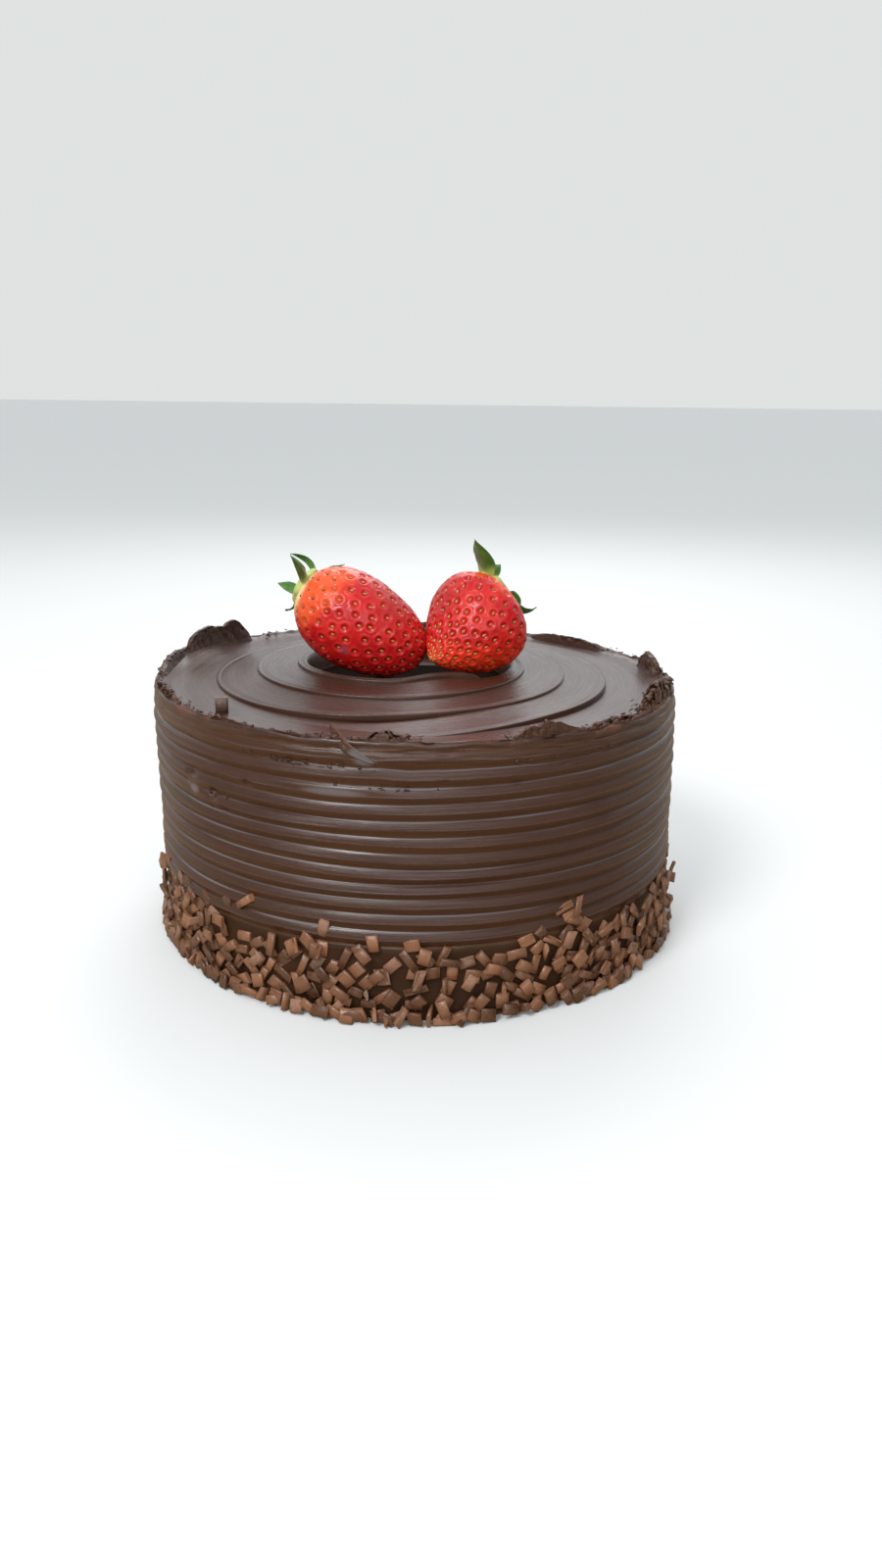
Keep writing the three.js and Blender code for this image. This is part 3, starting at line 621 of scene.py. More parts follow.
# How ragged the rim's edge is, from angle to height in millimetres
FRINGE_HEIGHTS = [
    (0, 0.9), (20, 1.0), (35, 0.5), (60, 0.45), (100, 0.5), (135, 0.5), (150, 0.9), (185, 1.0),
    (202, 1.6), (212, 0.8), (222, 0.35), (232, 0.7), (240, 0.8), (254, 1.2), (268, 1.5),
    (276, 0.6), (284, 0.7), (300, 1.3), (318, 1.9), (335, 1.6), (350, 1.2), (360, 0.9),
]


def wall_section(number):
    """Points round a thin wall, in two rows: whether each is on its outer face, and how far up
    the wall it is, from 0 to 1."""
    loop = np.arange(number)[None, :] / number
    outer = loop < 0.5
    return outer, np.where(outer, loop * 2, (1 - loop) * 2)


def torn_wall(index, middle, half, rise, lean, thick, tearing, power):
    """A tall bent wall: its section climbs the outer face, t^2 times lean inwards, rolls over at
    the top and comes down the inner face, thinner towards the top. Its height is a hump, a
    power of a cosine, along the rim. Ridged noise tears it, most on the inner face."""
    outer, up = wall_section(TEAR_SECTION)
    along = np.linspace(-1, 1, TEAR_STEPS)[:, None]
    hump = np.maximum(np.cos(along * np.pi / 2), 0.0) ** power
    angle = middle + half * along + 0.0 * up
    place = field(angle * 0.8, up * 3.0, 4.0 * index)
    ragged = 1.0 + (0.06 + 0.2 * tearing) * noise(field(angle * 0.55, 0, index), 81)
    height = mix(-TEAR_ROOT, rise * hump * ragged, np.sin(up * np.pi / 2) ** 0.9)
    free = smoothstep(height, -1.0, 1.5)
    crumple = rough_noise(place * [1.0, 1.4, 1.0], 82 + index, 4)
    shreds = rough_noise(place * [2.6, 0.45, 1.0], 170 + index, 3)
    creased = 0.35 * free * rough_noise(place * [0.5, 5.0, 1.0], 120 + index, 2)
    shake = 0.6 * tearing * free * rough_noise(place * [1.3, 1.0, 1.0], 140 + index, 3)
    holes = np.maximum(0.0, noise(place * [1.5, 1.6, 1.0], 95 + index) - 0.05)
    hollow = np.where(outer, 0.5, 1.0) * 3.2 * holes * (up > 0.1)
    push = free * tearing * (0.6 * crumple + 0.5 * shreds + hollow)
    wall = np.where(outer, 0.0, thick * mix(1.0, 0.3, up)) * np.where(up > 0.96, 0.6, 1.0)
    radius = CAKE_RADIUS - 1.0 - lean * up**2 * hump - wall + np.where(outer, -0.45, 1.0) * push
    radius = radius + np.where(outer, -0.5, 0.4) * np.abs(creased)
    points = on_cake(angle, radius, rim_height(angle) + height + shake)
    ripped = np.clip(0.34 + 0.4 * crumple + 0.35 * smoothstep(up, 0.8, 1.0), 0, 1)
    values = {
        # Painted shade: the free, torn part takes some of the warm shade colour and its cavities are
        # painted nearly black
        "shade": free * tearing * np.where(holes > 0.1, 1.8, 0.4),
        "torn": tearing * free * ripped * np.where(holes > 0.12, 0.25, 1.0),
        "stroke": around_cake(angle, height * 1.5),
    }
    return *tube(points, flipped=True), values


def torn_lumps():
    walls = [torn_wall(index, *tear) for index, tear in enumerate(RIM_TEARS)]
    return new_piece("torn_lumps", *joined(walls))


def rim_fringe():
    """A thin wall all the way round the rim: a six-cornered section whose top edge follows
    sharp noise, up to the height that FRINGE_HEIGHTS gives at each angle."""
    angle = np.arange(FRINGE_COLUMNS) * 360.0 / FRINGE_COLUMNS
    allowed = table(FRINGE_HEIGHTS, angle)
    waves = ((38.0, 161, 3), (7.0, 162, 2), (20.0, 163, 3), (24.0, 164, 2), (9.0, 165, 3))
    jag, slow, sway, thick, patchy = (
        round_noise(angle, scale, 0.0, seed, octaves) for scale, seed, octaves in waves)
    height = allowed * np.clip(0.35 + 0.75 * slow + 0.55 * jag, -0.5, 1.6)
    sway = 0.55 * sway * (0.4 + allowed)
    thick = 0.75 + 0.35 * thick
    outwards = field(
        0.15, 0.1 + sway * 0.4, sway + 0.1, sway - 0.3 * thick, sway * 0.4 - 0.9 * thick, -1.3 * thick)
    upwards = field(-1.6, height * 0.45, height, height * 0.96, height * 0.3 - 0.1, -1.8)
    angle, patchy = angle[:, None], patchy[:, None]
    radius = CAKE_RADIUS - 0.9 + slow_swell(angle, RIM_HEIGHT) + outwards
    points = on_cake(angle, radius, rim_height(angle) + upwards).reshape(-1, 3)
    torn = np.clip(0.02 + 0.8 * patchy + 0.3 * (upwards > 0.35), 0, 1) * (upwards > -1.0)
    values = {"torn": torn, "stroke": around_cake(angle, upwards * 2.0)}
    quads = ring_quads(FRINGE_COLUMNS, 6, closed=True)[:, ::-1]
    return new_piece("rim_fringe", points, quads, values=values)


# Clusters of slivers: angle, spread in degrees, height over the rim, spread in height,
# depth inwards, spread in depth, number, largest length
SLIVER_CLUSTERS = [
    (208, 9, 0.4, 0.9, 1.6, 1.6, 60, 3.2),
    (224, 8, 0.1, 0.7, 1.0, 0.9, 34, 2.6),
    (243, 10, 0.0, 0.6, 0.8, 0.8, 34, 2.4),
    (256, 6, 0.2, 0.8, 0.8, 0.9, 30, 2.6),
    (268, 4, 0.7, 0.9, 1.8, 1.4, 60, 2.6),
    (293, 7, 0.8, 1.2, 1.4, 1.0, 40, 3.0),
    (313, 10, 0.5, 0.9, 1.8, 1.6, 90, 3.2),
    (325, 5, 1.2, 1.2, 2.6, 1.6, 40, 3.0),
    (336, 9, 3.0, 2.6, 4.0, 2.0, 60, 3.0),
    (348, 8, 1.8, 1.6, 3.2, 1.6, 36, 2.8),
    (12, 9, 1.6, 1.6, 2.6, 1.6, 36, 2.8),
    (46, 18, 0.4, 0.8, 1.6, 1.2, 30, 2.4),
    (95, 30, 0.2, 0.6, 1.2, 1.0, 44, 2.4),
    (150, 20, 0.6, 1.0, 1.8, 1.6, 40, 2.8),
    (182, 12, 0.4, 0.8, 1.4, 1.2, 36, 2.8),
    (221, 5, -22.0, 2.2, 0.0, 0.3, 16, 2.0),
    (238, 4, -18.0, 1.2, 0.0, 0.3, 12, 1.8),
    (229, 4, -27.0, 2.4, 0.0, 0.3, 14, 2.0),
    (250, 9, -8.2, 0.9, 0.0, 0.3, 26, 2.6),
    (262, 8, -15.0, 0.6, 0.0, 0.3, 12, 2.4),
    (300, 20, -7.0, 1.0, 0.0, 0.3, 24, 2.2),
]
SLIVER_STEPS = 6


def ganache_slivers():
    """Curled scraps of torn ganache. Each is a four-sided strip whose width and thickness taper
    as sin^0.6 along it and whose middle line is an arc of a random bend. Those on the side lie
    flat on it."""
    draw = np.random.default_rng(88)
    clusters = []
    for angle, spread, up, spread_up, deep, spread_deep, number, longest in SLIVER_CLUSTERS:
        spreads = ((angle, spread), (up, spread_up), (deep, spread_deep))
        places = [middle + wide * draw.normal(size=number) * 0.6 for middle, wide in spreads]
        length = longest * draw.uniform(0.25, 1.0, number) ** 1.4
        clusters.append(field(*places, length, draw.uniform(0.14, 0.5, number), up < -5))
    angle, up, deep, length, width, flat = np.concatenate(clusters).T
    count, flat = len(angle), flat[:, None] > 0.5

    along = np.linspace(0.06, 0.94, SLIVER_STEPS)[None, :, None]
    length, width = length[:, None, None], width[:, None, None]
    bend = draw.uniform(-2.4, 2.4, count)[:, None, None]
    turn = bend * (along - 0.5)
    straight = np.abs(bend) < 0.05
    arc = length * np.sin(turn) / np.where(straight, 1, bend)
    x = np.where(straight, length * (along - 0.5), arc)
    z = length * (1 - np.cos(turn)) / np.where(straight, 1e9, bend)
    taper = np.sin(np.pi * along) ** 0.6
    thick = width * draw.uniform(0.35, 0.8, count)[:, None, None]
    y = np.array([1.0, 0.0, -1.0, 0.0]) * width * taper
    thick = np.array([0.0, 1.0, 0.0, -1.0]) * thick * taper
    shape = field(x - np.sin(turn) * thick, y, z + np.cos(turn) * thick).reshape(count, -1, 3)
    quads = ring_quads(SLIVER_STEPS, 4)
    triangles = np.array([[0, 3, 2], [0, 2, 1], [-4, -3, -2], [-4, -2, -1]]) % (SLIVER_STEPS * 4)

    out = around_cake(angle)
    wild = np.where(draw.uniform(size=(count, 1)) < 0.1, 1.6, 0.4) * np.where(flat, 0.3, 1.0)
    x_axis = unit(beside(out) + wild * draw.normal(size=(count, 3)))
    normals = np.where(flat, out, out * 0.4 + [0, 0, 0.8]) + 0.35 * draw.normal(size=(count, 3))
    standing = on_cake(angle, CAKE_RADIUS - 0.8 - np.maximum(deep, -0.3), rim_height(angle) + up)
    places = np.where(flat, on_cake(angle, CAKE_RADIUS + 0.45, RIM_HEIGHT + up), standing)
    axes = as_axes(x_axis, square_to(normals, x_axis))
    points, quads, triangles = copies(shape, quads, triangles, axes, places)
    torn = draw.uniform(0.0, 0.9, count) * np.where(flat[:, 0], 0.45, 1.0)
    values = {"torn": np.repeat(torn, SLIVER_STEPS * 4), "stroke": points / [100, 100, 1]}
    return new_piece("ganache_slivers", points, quads, triangles, values)


def rim_fin():
    """The fin pulled across the front of the rim: a thin sheet from FIN_FROM to FIN_TO. It
    hangs from that line, as wide as sin(pi t^0.62)^0.6 says, with streaks along it; its lower
    part lies flat on the side."""
    outer, down = wall_section(FIN_SECTION)
    along = np.linspace(0.0, 1.0, FIN_STEPS)[:, None]
    wide = FIN_WIDTH * np.maximum(np.sin(np.pi * along**0.62), 0) ** 0.6 + 0.12
    streak = noise(field(down * 9.0, 1.5, along * 1.5), 201)
    thick = mix(0.32, 0.55, smoothstep(along, 0.2, 0.8)) * (1 - 0.8 * down) + 0.12
    y = 0.25 - wide * down * (1 + 0.12 * streak)
    z = np.where(outer, 1.0, -1.0) * thick / 2 + 0.16 * streak * smoothstep(along, 0.1, 0.5)
    lying = smoothstep(along, 0.0, 0.55)
    angle, radius, height = (
        mix(start, end, share) for start, end, share in zip(FIN_FROM, FIN_TO, (along, lying, along**1.1)))
    out = around_cake(angle)
    around = beside(out)
    across = unit(around * 0.62 + [0.0, 0.0, 0.78])
    normal = unit(mix(out * 0.9 - around * 0.35 + [0.0, 0.0, 0.25], out, lying[..., None]))
    points = on_cake(angle, radius, RIM_HEIGHT + height)
    points = points + across * y[..., None] + normal * z[..., None]
    torn = (1 - smoothstep(along, 0.4, 0.75)) * (0.25 + 0.95 * (1 - smoothstep(down, 0.0, 0.35)))
    values = {
        "torn": np.append(torn, [1, 0]),
        # Past 1 the lying part of the fin is also painted with a pale sheen
        "gloss_and_sheen": np.append(1.8 * smoothstep(along, 0.35, 0.65) + 0 * y, [0, 1]),
        "stroke": field(along * 0.6, 0, y * 2.2),
    }
    return new_piece("rim_fin", *tube(points, flipped=True), values)


# ---- Chocolate flakes -----------------------------------------------------------------------
FLAKE_SECTION = 14
# Number of flakes, height of the layer, gap between them, how far they stand out and how
# loosely they lie
FLAKE_LAYERS = [(640, 35.0, 5.7, 0.0, 0.13), (215, 24.0, 8.6, 1.9, 0.32), (125, 1.5, 5.1, 1.9, 0.36)]
# Flakes over the band, at angle and height, of which the first is a long rolled one with its
# own sizes and turn
UPPER_FLAKES = [(235.5, 36.5), (253.0, 33.5), (300.5, 37.0), (302.5, 34.0), (304.0, 36.5), (230.0, 33.0)]
ROLLED_FLAKE = (8.6, 2.7, 2.3)
ROLLED_TURN = 0.62
# Shape of the upright flake on the top: the numbers that flake_shapes takes
LONE_FLAKE_SHAPE = (6.1, 4.4, 1.9, 4.5, 0.9, 0.0, 0.0)
# Height of the band's upper edge, from angle
FLAKE_BAND = [
    (0, 33), (30, 30), (60, 31), (90, 33), (120, 30), (150, 32), (180, 34), (205, 35), (222, 32.5),
    (240, 29), (250, 31), (270, 30), (285, 29), (296, 32.5), (303, 36), (312, 31), (330, 30),
    (345, 32), (360, 33),
]


def flake_shapes(*sizes):
    """Bars with a superellipse section, flatter below, some with a fold along one side. Both
    ends are cut flat, at the same slant, and keep a sharp edge. sizes are arrays of length,
    width, thickness, squareness, flatness, groove and skew."""
    length, width, thickness, squareness, flatness, groove, skew = (
        value[:, None, None] for value in sizes)
    loop = (np.arange(FLAKE_SECTION) + 0.5) / FLAKE_SECTION * 2 * np.pi
    halves = (np.cos(loop), width), (np.sin(loop), thickness)
    y, z = (np.sign(wave) * np.abs(wave) ** (2.0 / squareness) * size / 2 for wave, size in halves)
    z = np.where(np.sin(loop) < 0, z * flatness, z)
    z = z - groove * bell(loop, 2.1, 0.26) * thickness * 0.42
    rings = np.array([-0.5, 0.0, 0.5])[:, None]
    bow = rings**2 * width * 0.12
    points = field(length * rings + skew * y, y, z + bow)
    ends = field(length * rings, 0, bow)[:, [0, -1], 0]
    _, quads, triangles = tube(points[0])
    return np.concatenate([points.reshape(len(points), -1, 3), ends], axis=1), quads, triangles


def spread_places(draw, number, tall, gap, rounds=60):
    """Places on the unrolled side, pushed apart until they keep about the gap between them."""
    wide = 2 * np.pi * CAKE_RADIUS
    place = field(draw.uniform(0, wide, number), draw.uniform(0, tall, number))
    for _ in range(rounds):
        away = place[:, None, :] - place[None, :, :]
        away[..., 0] = (away[..., 0] + wide / 2) % wide - wide / 2
        far = np.sqrt((away**2).sum(-1)) + np.eye(number) * 1e3
        push = np.clip(gap - far, 0, None)[..., None] * away / np.maximum(far, 0.05)[..., None]
        place = place + 0.32 * push.sum(axis=1)
        place[:, 0] %= wide
        place[:, 1] = np.clip(place[:, 1], 0, tall)
    return place


def flake_places(draw):
    """Angle, height, distance from the side and looseness of each flake. Fewer are kept near
    the band's upper edge."""
    places = []
    for number, tall, gap, stand, loose in FLAKE_LAYERS:
        along, up = spread_places(draw, number, tall, gap).T
        turn, up = along / CAKE_RADIUS * 180 / np.pi, up + 1.6
        band = table(FLAKE_BAND, turn) + draw.normal(size=number) * 0.8
        front = np.clip(1 - np.abs((turn - 266.0) / 26.0), 0, 1)
        sparse = mix(0.92, 0.8, front) * (1 - 0.6 * smoothstep(up, band - 7, band + 1))
        keep = (up < band) & (draw.uniform(size=number) < np.where(up < 20, 1.0, sparse))
        places.append(field(turn, up, stand, loose)[keep])
    places.append([(turn, up, 0.0, 0.3) for turn, up in UPPER_FLAKES])
    return np.concatenate(places).T


def flake_sizes(draw, count):
    """The numbers that flake_shapes takes, for each flake: one in seven is a rolled rod, half
    are half round and the rest are square bars."""
    kind = draw.uniform(size=count)
    half_round = (kind > 0.36) & (kind <= 0.86)
    kinds = [kind > 0.86, half_round]
    length = FLAKE_LENGTH * draw.uniform(0.88, 1.08, count)
    longer = length * draw.uniform(1.0, 1.25, count)
    length = np.select(kinds, [FLAKE_LENGTH * draw.uniform(1.25, 1.6, count), longer], length)
    width = FLAKE_WIDTH * draw.uniform(0.88, 1.08, count) * np.select(kinds, [0.62, 0.86], 1.0)
    thickness = FLAKE_THICKNESS * draw.uniform(0.8, 1.05, count) * np.select(kinds, [1.1, 1.25], 1.0)
    squareness = np.where(half_round, 2.1, 4.2) + draw.uniform(-0.1, 0.5, count)
    flatness = np.where(half_round, 0.55, 0.9)
    groove = np.where(draw.uniform(size=count) < 0.35, 1.0, 0.0) * draw.uniform(0.3, 1.0, count)
    skew = np.where(half_round, 0.07, 0.17) * draw.normal(size=count)
    return np.array([length, width, thickness, squareness, flatness, groove, skew])


def chocolate_flakes():
    """A little over 800 flakes in three layers: one pressed flat against the ganache, one
    tumbled over it and one lying on the ground at the foot. One more stands on the top."""
    draw = np.random.default_rng(412)
    angle, height, lift, tumble = flake_places(draw)
    count = len(angle)
    sizes = flake_sizes(draw, count)
    rolled = count - len(UPPER_FLAKES)
    sizes[:3, rolled] = ROLLED_FLAKE

    out = around_cake(angle)
    heaped = 1 - smoothstep(height, 2.0, 9.0)
    lean_up = draw.normal(size=count) * 0.5 * tumble + 0.18 * heaped * tumble
    lean_round = draw.normal(size=count) * 0.55 * tumble
    on_edge = (draw.uniform(size=count) < 0.07) & (tumble > 0.25)
    lean_round = np.clip(np.where(on_edge, np.sign(lean_round) * 1.3, lean_round), -1.3, 1.3)
    normals = unit(out + beside(out) * np.tan(lean_round)[:, None] * 0.8 + field(0, 0, lean_up))
    spins = draw.uniform(0, 2 * np.pi, count)
    spins[rolled] = ROLLED_TURN
    shape, quads, triangles = flake_shapes(*sizes)
    axes = facing(normals, spins)
    half = (np.abs(np.einsum("nij,nj->ni", axes, out)) * sizes[:3].T / 2).sum(axis=-1)
    inner = np.where(tumble > 0.25, half * 0.72, half)
    radius = CAKE_RADIUS - 0.45 + inner + lift * (0.75 + 0.5 * draw.uniform(size=count))
    radius = np.minimum(radius + heaped * draw.uniform(0, 1.0, count), FLAKE_REACH + 0.9 - half)
    places = on_cake(angle, radius, height)
    lowest = (np.einsum("nij,nmi->nmj", axes, shape) + places[:, None, :])[..., 2].min(axis=1)
    places[:, 2] += np.maximum(0.02 - lowest, 0)

    lone_shape = flake_shapes(*np.array(LONE_FLAKE_SHAPE)[:, None])[0]
    lone_axes = facing(unit(np.array([[0.12, -1.0, 0.06]])), np.array([np.pi / 2]))
    shape = np.concatenate([shape, lone_shape])
    axes = np.concatenate([axes, lone_axes])
    places = np.concatenate([places, [[*LONE_FLAKE, RIM_HEIGHT - DISH_DEPTH + 2.9]]])
    points, quads, triangles = copies(shape, quads, triangles, axes, places)
    size = shape.shape[1]
    tone = np.append(draw.uniform(0, 1, count), -0.45)
    dusty = np.append(np.where(draw.uniform(size=count) < 0.07, 1.0, 0.0), 0.3)
    # Painted highlight: paler colour on the rings at both cut ends
    edge = np.append(np.repeat([1.0, 0.0, 1.0], FLAKE_SECTION), [0.9, 0.9])
    values = {
        "tone": np.repeat(tone, size),
        "dusty": np.repeat(dusty, size),
        "edge": np.tile(edge, count + 1),
        "grain": shape + (np.arange(count + 1) * 13.7)[:, None, None],
    }
    piece = new_piece("chocolate_flakes", points, quads, triangles, values)
    smooth = np.repeat([True, False], [len(quads), len(triangles)])
    piece.data.polygons.foreach_set("use_smooth", smooth)
    return piece


# ---- Strawberries ---------------------------------------------------------------------------
BERRY_ROWS = 250
BERRY_COLUMNS = 380
PIT_DEPTH = 0.75
PIT_RADIUS = 1.15
SEED_SIZE = 0.78
GOLDEN_ANGLE = math.pi * (3 - math.sqrt(5))


def berry_axes(berry):
    """Unit vectors of a berry: along from calyx to tip, side level across it, up across both."""
    yaw, pitch = math.radians(berry["yaw"]), math.radians(berry["pitch"])
    along = np.array([math.cos(pitch) * math.cos(yaw), math.cos(pitch) * math.sin(yaw), -math.sin(pitch)])
    side = np.array([-math.sin(yaw), math.cos(yaw), 0.0])
    return along, side, np.cross(along, side)


def berry_girth(berry, theta):
    """sin^blunt times (1 + taper cos) of the angle from the calyx, over its greatest value."""
    def girth(angle):
        return np.maximum(np.sin(angle), 0.0) ** berry["blunt"] * (1 + berry["taper"] * np.cos(angle))

    return girth(theta) / girth(np.linspace(0, np.pi, 61)).max()


def berry_points(berry, theta, psi):
    """Surface points at theta from the calyx and psi round the axis from the upper side."""
    along, side, up = berry_axes(berry)
    bump = 1 + BERRY_BUMP * np.sin(3 * psi + 2 * theta) * np.sin(theta)
    girth = berry_girth(berry, theta) * bump
    bow = np.sin(theta) ** 2
    lengthwise = (-berry["length"] / 2 * np.cos(theta))[..., None]
    upwise = (berry["width"] / 2 * girth * np.cos(psi) + berry["bow_up"] * bow)[..., None]
    sidewise = (berry["depth"] / 2 * girth * np.sin(psi) + berry["bow_side"] * bow)[..., None]
    return np.array(berry["centre"]) + lengthwise * along + upwise * up + sidewise * side


def berry_normals(berry, theta, psi):
    """Outward normals from small steps along both angles."""
    step = 1e-3
    safe = np.clip(theta, 0.02, np.pi - 0.02)
    by_theta = berry_points(berry, safe + step, psi) - berry_points(berry, safe - step, psi)
    by_psi = berry_points(berry, safe, psi + step) - berry_points(berry, safe, psi - step)
    return unit(np.cross(by_theta, by_psi))


def pit_share(theta):
    """Share of its full depth that a pit has: less of it near the calyx."""
    return 1 - 0.55 * (1 - smoothstep(theta, 0.35, 1.0))


def patch(points, ball, low, high):
    """1 inside low times a ball, its middle and radius, falling to 0 at high times it."""
    middle, radius = ball
    return 1 - smoothstep(np.linalg.norm(points - middle, axis=-1) / radius, low, high)


def seed_places(berry, draw):
    """Angles of the seeds: golden-angle steps round the axis, with cos(theta) falling evenly,
    so that the seeds are as far apart everywhere, and crowded towards the tip."""
    number = berry["seeds"]
    share = ((np.arange(number) + 0.5) / number) ** berry["seed_crowding"]
    theta = np.arccos(1 - 2 * mix(0.028, 0.992, share))
    psi = np.arange(number) * GOLDEN_ANGLE
    return theta + draw.normal(size=number) * 0.022, psi + draw.normal(size=number) * 0.05


def berry_flesh(side, seeds):
    """The berry's skin: the surface pushed in along its normal by a bell curve at each seed,
    with a raised ring round each pit, a soft swelling between pits and slight unevenness."""
    berry = BERRIES[side]
    theta = np.linspace(0.03, np.pi - 0.03, BERRY_ROWS)[:, None]
    theta, psi = np.broadcast_arrays(theta, np.arange(BERRY_COLUMNS) / BERRY_COLUMNS * 2 * np.pi)
    points = berry_points(berry, theta, psi)
    seed_points = berry_points(berry, *seeds)
    nearest = np.concatenate([
        np.sqrt(((some[:, None] - seed_points) ** 2).sum(-1).min(axis=1))
        for some in np.array_split(points.reshape(-1, 3), 12)])
    nearest = nearest.reshape(theta.shape)
    pit = np.exp(-((nearest / PIT_RADIUS) ** 2.4))
    ring = bell(nearest, 1.95, 0.55)
    uneven = 0.22 * rough_noise(points / 7.0, 301, 3) + 0.04 * noise(points / 0.9, 302)
    shift = pit_share(theta) * (-PIT_DEPTH * pit + 0.14 * ring) + uneven
    points = points + berry_normals(berry, theta, psi) * shift[..., None]
    poles = berry_points(berry, np.array([0.0, np.pi]), np.zeros(2))
    towards = np.cos(psi - math.radians(berry["orange_side"]))
    orange = smoothstep(-(theta - 0.32 * towards - berry["orange_reach"] * 0.5), -0.55, 0.3)
    low = 1 - smoothstep(points[..., 2], RIM_HEIGHT + 7.0, RIM_HEIGHT + 18.0)
    values = {
        "pale": np.append(smoothstep(-theta, -berry["pale_reach"], -0.3), [1, 0]),
        "orange": np.append(np.maximum(orange, berry["warmth"]), [1, 0]),
        # pit and ring also colour the skin: painted shade darkens each pit and a painted pink highlight
        # lies on the raised ring round it
        "pit": pit,
        "ring": ring,
        "bruise": patch(points, berry["bruise"], 0.4, 1.2),
        "dull": patch(points, berry["dull"], 0.2, 1.1),
        # Painted light: the berry brightened low down, as if by light bounced up from below
        "painted_bounce_light": low * berry["painted_bounce_light"],
    }
    return new_piece(f"strawberry_flesh_{side}", *tube(points, poles), values)


def berry_seeds(side, seeds, draw):
    """Seeds as drops of six rings of seven points, pointed towards the calyx, sunk in their pits."""
    berry = BERRIES[side]
    theta, psi = seeds
    places = berry_points(berry, theta, psi)
    normals = berry_normals(berry, theta, psi)
    tipwards = berry_points(berry, np.minimum(theta + 0.02, np.pi - 0.01), psi) - places
    axes = as_axes(square_to(tipwards, normals), normals)
    tilt = np.linspace(0.3, np.pi - 0.3, 6)[:, None]
    loop = np.arange(7) / 7 * 2 * np.pi
    drop = np.sin(tilt) * (1 - 0.28 * np.cos(tilt))
    rings = field(-np.cos(tilt) * 0.95, drop * np.cos(loop) * 0.58, drop * np.sin(loop) * 0.42)
    base, quads, triangles = tube(rings, [[-0.98, 0, 0], [0.98, 0, 0]])
    size = draw.uniform(0.82, 1.1, len(theta)) * mix(0.8, 1.0, smoothstep(theta, 0.3, 0.9))
    shape = base * SEED_SIZE * size[:, None, None]
    places = places - normals * (PIT_DEPTH * pit_share(theta) * 0.62)[:, None]
    points, quads, triangles = copies(shape, quads, triangles, axes, places)
    ripe = smoothstep(theta, 0.5, 1.5) * draw.uniform(0.6, 1.0, len(theta))
    values = {"ripe": np.repeat(ripe, len(base))}
    return new_piece(f"strawberry_seeds_{side}", points, quads, triangles, values)


# ---- Calyxes --------------------------------------------------------------------------------
SEPAL_THICKNESS = 0.42
SEPAL_ROWS = 30
SEPAL_COLUMNS = 11
SPINE_STEPS = 40
HUB_RADIUS = 7.3
HUB_ROWS = 16
HUB_COLUMNS = 40


def calyx_axes(berry):
    """Where the calyx sits: outward, radial and side directions and the middle of the hub."""
    along, side, up = berry_axes(berry)
    tilt, turn = math.radians(berry["calyx_tilt"]), math.radians(berry["calyx_turn"])
    aside = up * math.cos(turn) + side * math.sin(turn)
    out = -along * math.cos(tilt) + aside * math.sin(tilt)
    across = unit(np.cross(out, up))
    radial = np.cross(across, out)
    root = berry_points(berry, np.array(tilt), np.array(turn)) + out * 1.05
    return out, radial, across, root


def sepal(calyx, turn_degrees, length, width, lift_root, lift_tip):
    """One sepal as a closed thin sheet. Its spine bends evenly from the lift at the root to the
    lift at the tip; its half width is sin^0.85 of a share that starts partly open; its edges
    lift, its middle vein sinks and slow noise waves it."""
    out, radial, side, root = calyx
    turn = math.radians(turn_degrees)
    outward = radial * math.cos(turn) + side * math.sin(turn)
    across = np.cross(outward, out)
    v = np.linspace(0, 1, SEPAL_ROWS)[:, None]
    u = np.linspace(-1, 1, SEPAL_COLUMNS)[None, :]
    parts = (np.arange(SPINE_STEPS) + 0.5) / SPINE_STEPS
    lift = np.radians(lift_root + (lift_tip - lift_root) * v * parts)
    run, climb = (wave.mean(axis=1, keepdims=True) * length * v for wave in (np.cos(lift), np.sin(lift)))
    spine = root + outward * SEPAL_ROOT - out * SEPAL_DROP + outward * run + out * climb
    end_lift = np.radians(mix(lift_root, lift_tip, v))
    normal = (out * np.cos(end_lift) - outward * np.sin(end_lift))[:, None]
    half = width / 2 * np.maximum(0.07, np.sin(np.pi * mix(0.24, 1.0, v)) ** 0.85)
    places = field(v * 3.0, u * 1.3, 0)
    ripple = 0.55 * noise(places + turn_degrees, 401) * np.abs(u)
    ripple = ripple + 0.2 * noise(places * 2.2 + turn_degrees, 402)
    dish = 0.32 * np.abs(u) ** 1.5 * half - 0.14 * bell(u, 0, 0.16)
    offset = ((ripple + dish) * smoothstep(v, 0.0, 0.25))[..., None]
    sheet = spine[:, None] + across * (u * half)[..., None] + normal * offset
    slim = (0.25 + 0.75 * (1 - np.abs(u) ** 3)) * mix(1.5, 0.7, v)
    thick = normal * SEPAL_THICKNESS / 2 * slim[..., None]
    rings = np.concatenate([sheet + thick, (sheet - thick)[:, ::-1]], axis=1)
    vein, length = np.broadcast_arrays(np.concatenate([u, u[:, ::-1]], axis=1), v)
    return *tube(rings), {"vein": vein, "length": np.append(length, [0, 1])}


